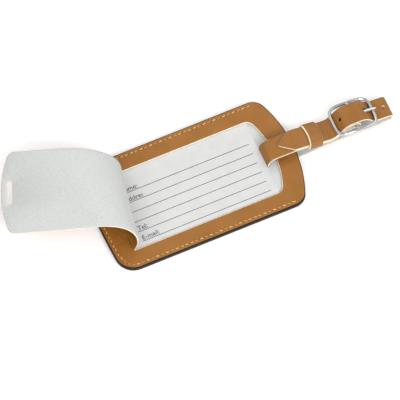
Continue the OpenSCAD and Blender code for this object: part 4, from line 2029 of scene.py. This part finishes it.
@dataclass
class Studio:
    """White sweep, soft lights and the camera."""

    azimuth: float = -23.6
    elevation: float = 64.0
    lens: float = 1200.0
    sensor: float = 36.0
    view_mm: float = 226.5
    centre_right: float = -52.98
    centre_up: float = -31.21
    tip_z: float = 5.1

    def camera(self) -> None:
        """Places the camera far off on a long lens."""
        a, e = math.radians(self.azimuth), math.radians(self.elevation)
        back = Vector((math.sin(a) * math.cos(e), -math.cos(a) * math.cos(e), math.sin(e)))
        right = Vector((math.cos(a), math.sin(a), 0))
        up = back.cross(right)
        target = Vector((0, 0, self.tip_z)) + right * self.centre_right + up * self.centre_up
        data = bpy.data.cameras.new("camera")
        data.lens = self.lens
        data.sensor_width = self.sensor
        data.clip_end = 50.0
        made = placed("camera", data)
        distance = self.view_mm * self.lens / self.sensor
        made.location = (target + back * distance) * MM
        made.rotation_mode = "QUATERNION"
        made.rotation_quaternion = (-back).to_track_quat("-Z", "Y")
        bpy.context.scene.camera = made

    @staticmethod
    def sweep() -> None:
        """Lays the white floor just under the tag."""
        mesh = MeshBuilder()
        reach, drop = 2500.0, -0.02
        corners = [(-reach, -reach), (reach, -reach), (reach, reach), (-reach, reach)]
        mesh.face(mesh.add((x, y, drop) for x, y in corners), Finishes.FLOOR)
        mesh.make("white_floor")

    @staticmethod
    def lamp(name: str, at: Point3, size: float, watts: float) -> None:
        """Hangs one soft square light that faces the tag.

        Args:
            name: Its name.
            at: Its place in metres.
            size: Its side in metres.
            watts: Its power.
        """
        data = bpy.data.lights.new(name, "AREA")
        data.energy = watts
        data.size = size
        made = placed(name, data)
        made.location = at
        aim = Vector((-0.04, 0.0, 0.0)) - Vector(at)
        made.rotation_mode = "QUATERNION"
        made.rotation_quaternion = aim.to_track_quat("-Z", "Y")

    @staticmethod
    def sky() -> None:
        """A white tent, dark at the horizon and round the camera, which gives metal its lines."""
        world = bpy.data.worlds.new("tent")
        world.use_nodes = True
        bpy.context.scene.world = world
        tree = world.node_tree
        place = add_node(tree, "ShaderNodeTexCoord")
        parts = add_node(tree, "ShaderNodeSeparateXYZ", {0: place.outputs["Generated"]})
        ramp = add_node(tree, "ShaderNodeValToRGB", {"Fac": parts.outputs["Z"]})
        ramp.color_ramp.elements[0].position = 0.3
        ramp.color_ramp.elements[0].color = (0.01, 0.01, 0.012, 1)
        ramp.color_ramp.elements[1].position = 0.5
        ramp.color_ramp.elements[1].color = (1.0, 1.0, 1.0, 1)
        for position, shade in ((0.84, 1.0), (0.92, 0.06)):
            ramp.color_ramp.elements.new(position).color = (shade, shade, shade, 1)
        back = tree.nodes["Background"]
        tree.links.new(ramp.outputs["Color"], back.inputs["Color"])
        back.inputs["Strength"].default_value = 1.45

    def build(self) -> None:
        """Sets up the studio."""
        self.camera()
        self.sweep()
        self.sky()
        self.lamp("key_softbox", (0.1, -0.85, 0.8), 0.5, 6.0)
        self.lamp("fill_softbox", (-0.8, -0.3, 0.9), 0.8, 1.4)
        bpy.context.scene.view_settings.view_transform = "Standard"


# ---- everything ------------------------------------------------------------------------------


def dress_node(frame: dict, node: str, finish: Finishes) -> None:
    """Gives a CAD node that stays in view its finish.

    Args:
        node: The node's name.
        finish: Its finish.
    """
    piece = frame["nodes"][node]
    piece.data.materials.clear()
    piece.data.materials.append(finish.value.material())
    LOG.info("%s keeps its shape in %s", node, finish.value.name)


def main() -> None:
    """Builds the tag around its frame."""
    logging.basicConfig(level=logging.INFO, format="%(name)s: %(message)s")
    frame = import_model()
    Studio().build()
    plan = Plan()
    fan = Fan(plan)
    flap = CoverFlap(plan, fan)

    front = FrontSheet(plan, fan, flap.columns()).build()
    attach(front, "tag")
    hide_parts("front_frame")
    back = BackSheet(plan).build()
    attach(back, "tag")
    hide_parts("back_panel")
    stitching = Stitching(plan)
    groove = 0.2
    for name, z, sunk, up, node in (
        ("front_saddle_stitches", plan.top_z - groove, 0.0, 1, "front_stitches"),
        ("back_saddle_stitches", groove + 0.1, 0.2, -1, "back_stitches"),
    ):
        seam = stitching.build(name, z, sunk, up)
        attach(seam, "tag")
        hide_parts(node)
    for piece in flap.build():
        LOG.info("%s made with %d faces", piece.name, len(piece.data.polygons))
    for piece in AddressCard(plan).build():
        LOG.info("%s made", piece.name)
    route = StrapRoute(plan)
    for part in (Strap(route), Keeper(route), BuckleFrame(route), Prong(route)):
        piece = part.build()
        LOG.info("%s made with %d faces", piece.name, len(piece.data.polygons))
    for node, finish in (
        ("pocket_lining", Finishes.LINING),
        ("back_stiffener", Finishes.BOARD),
        ("strap_end_stitches", Finishes.THREAD),
        ("keeper_staple", Finishes.STEEL),
        ("buckle_bar", Finishes.CHROME),
    ):
        dress_node(frame, node, finish)


if __name__ == "__main__":
    main()
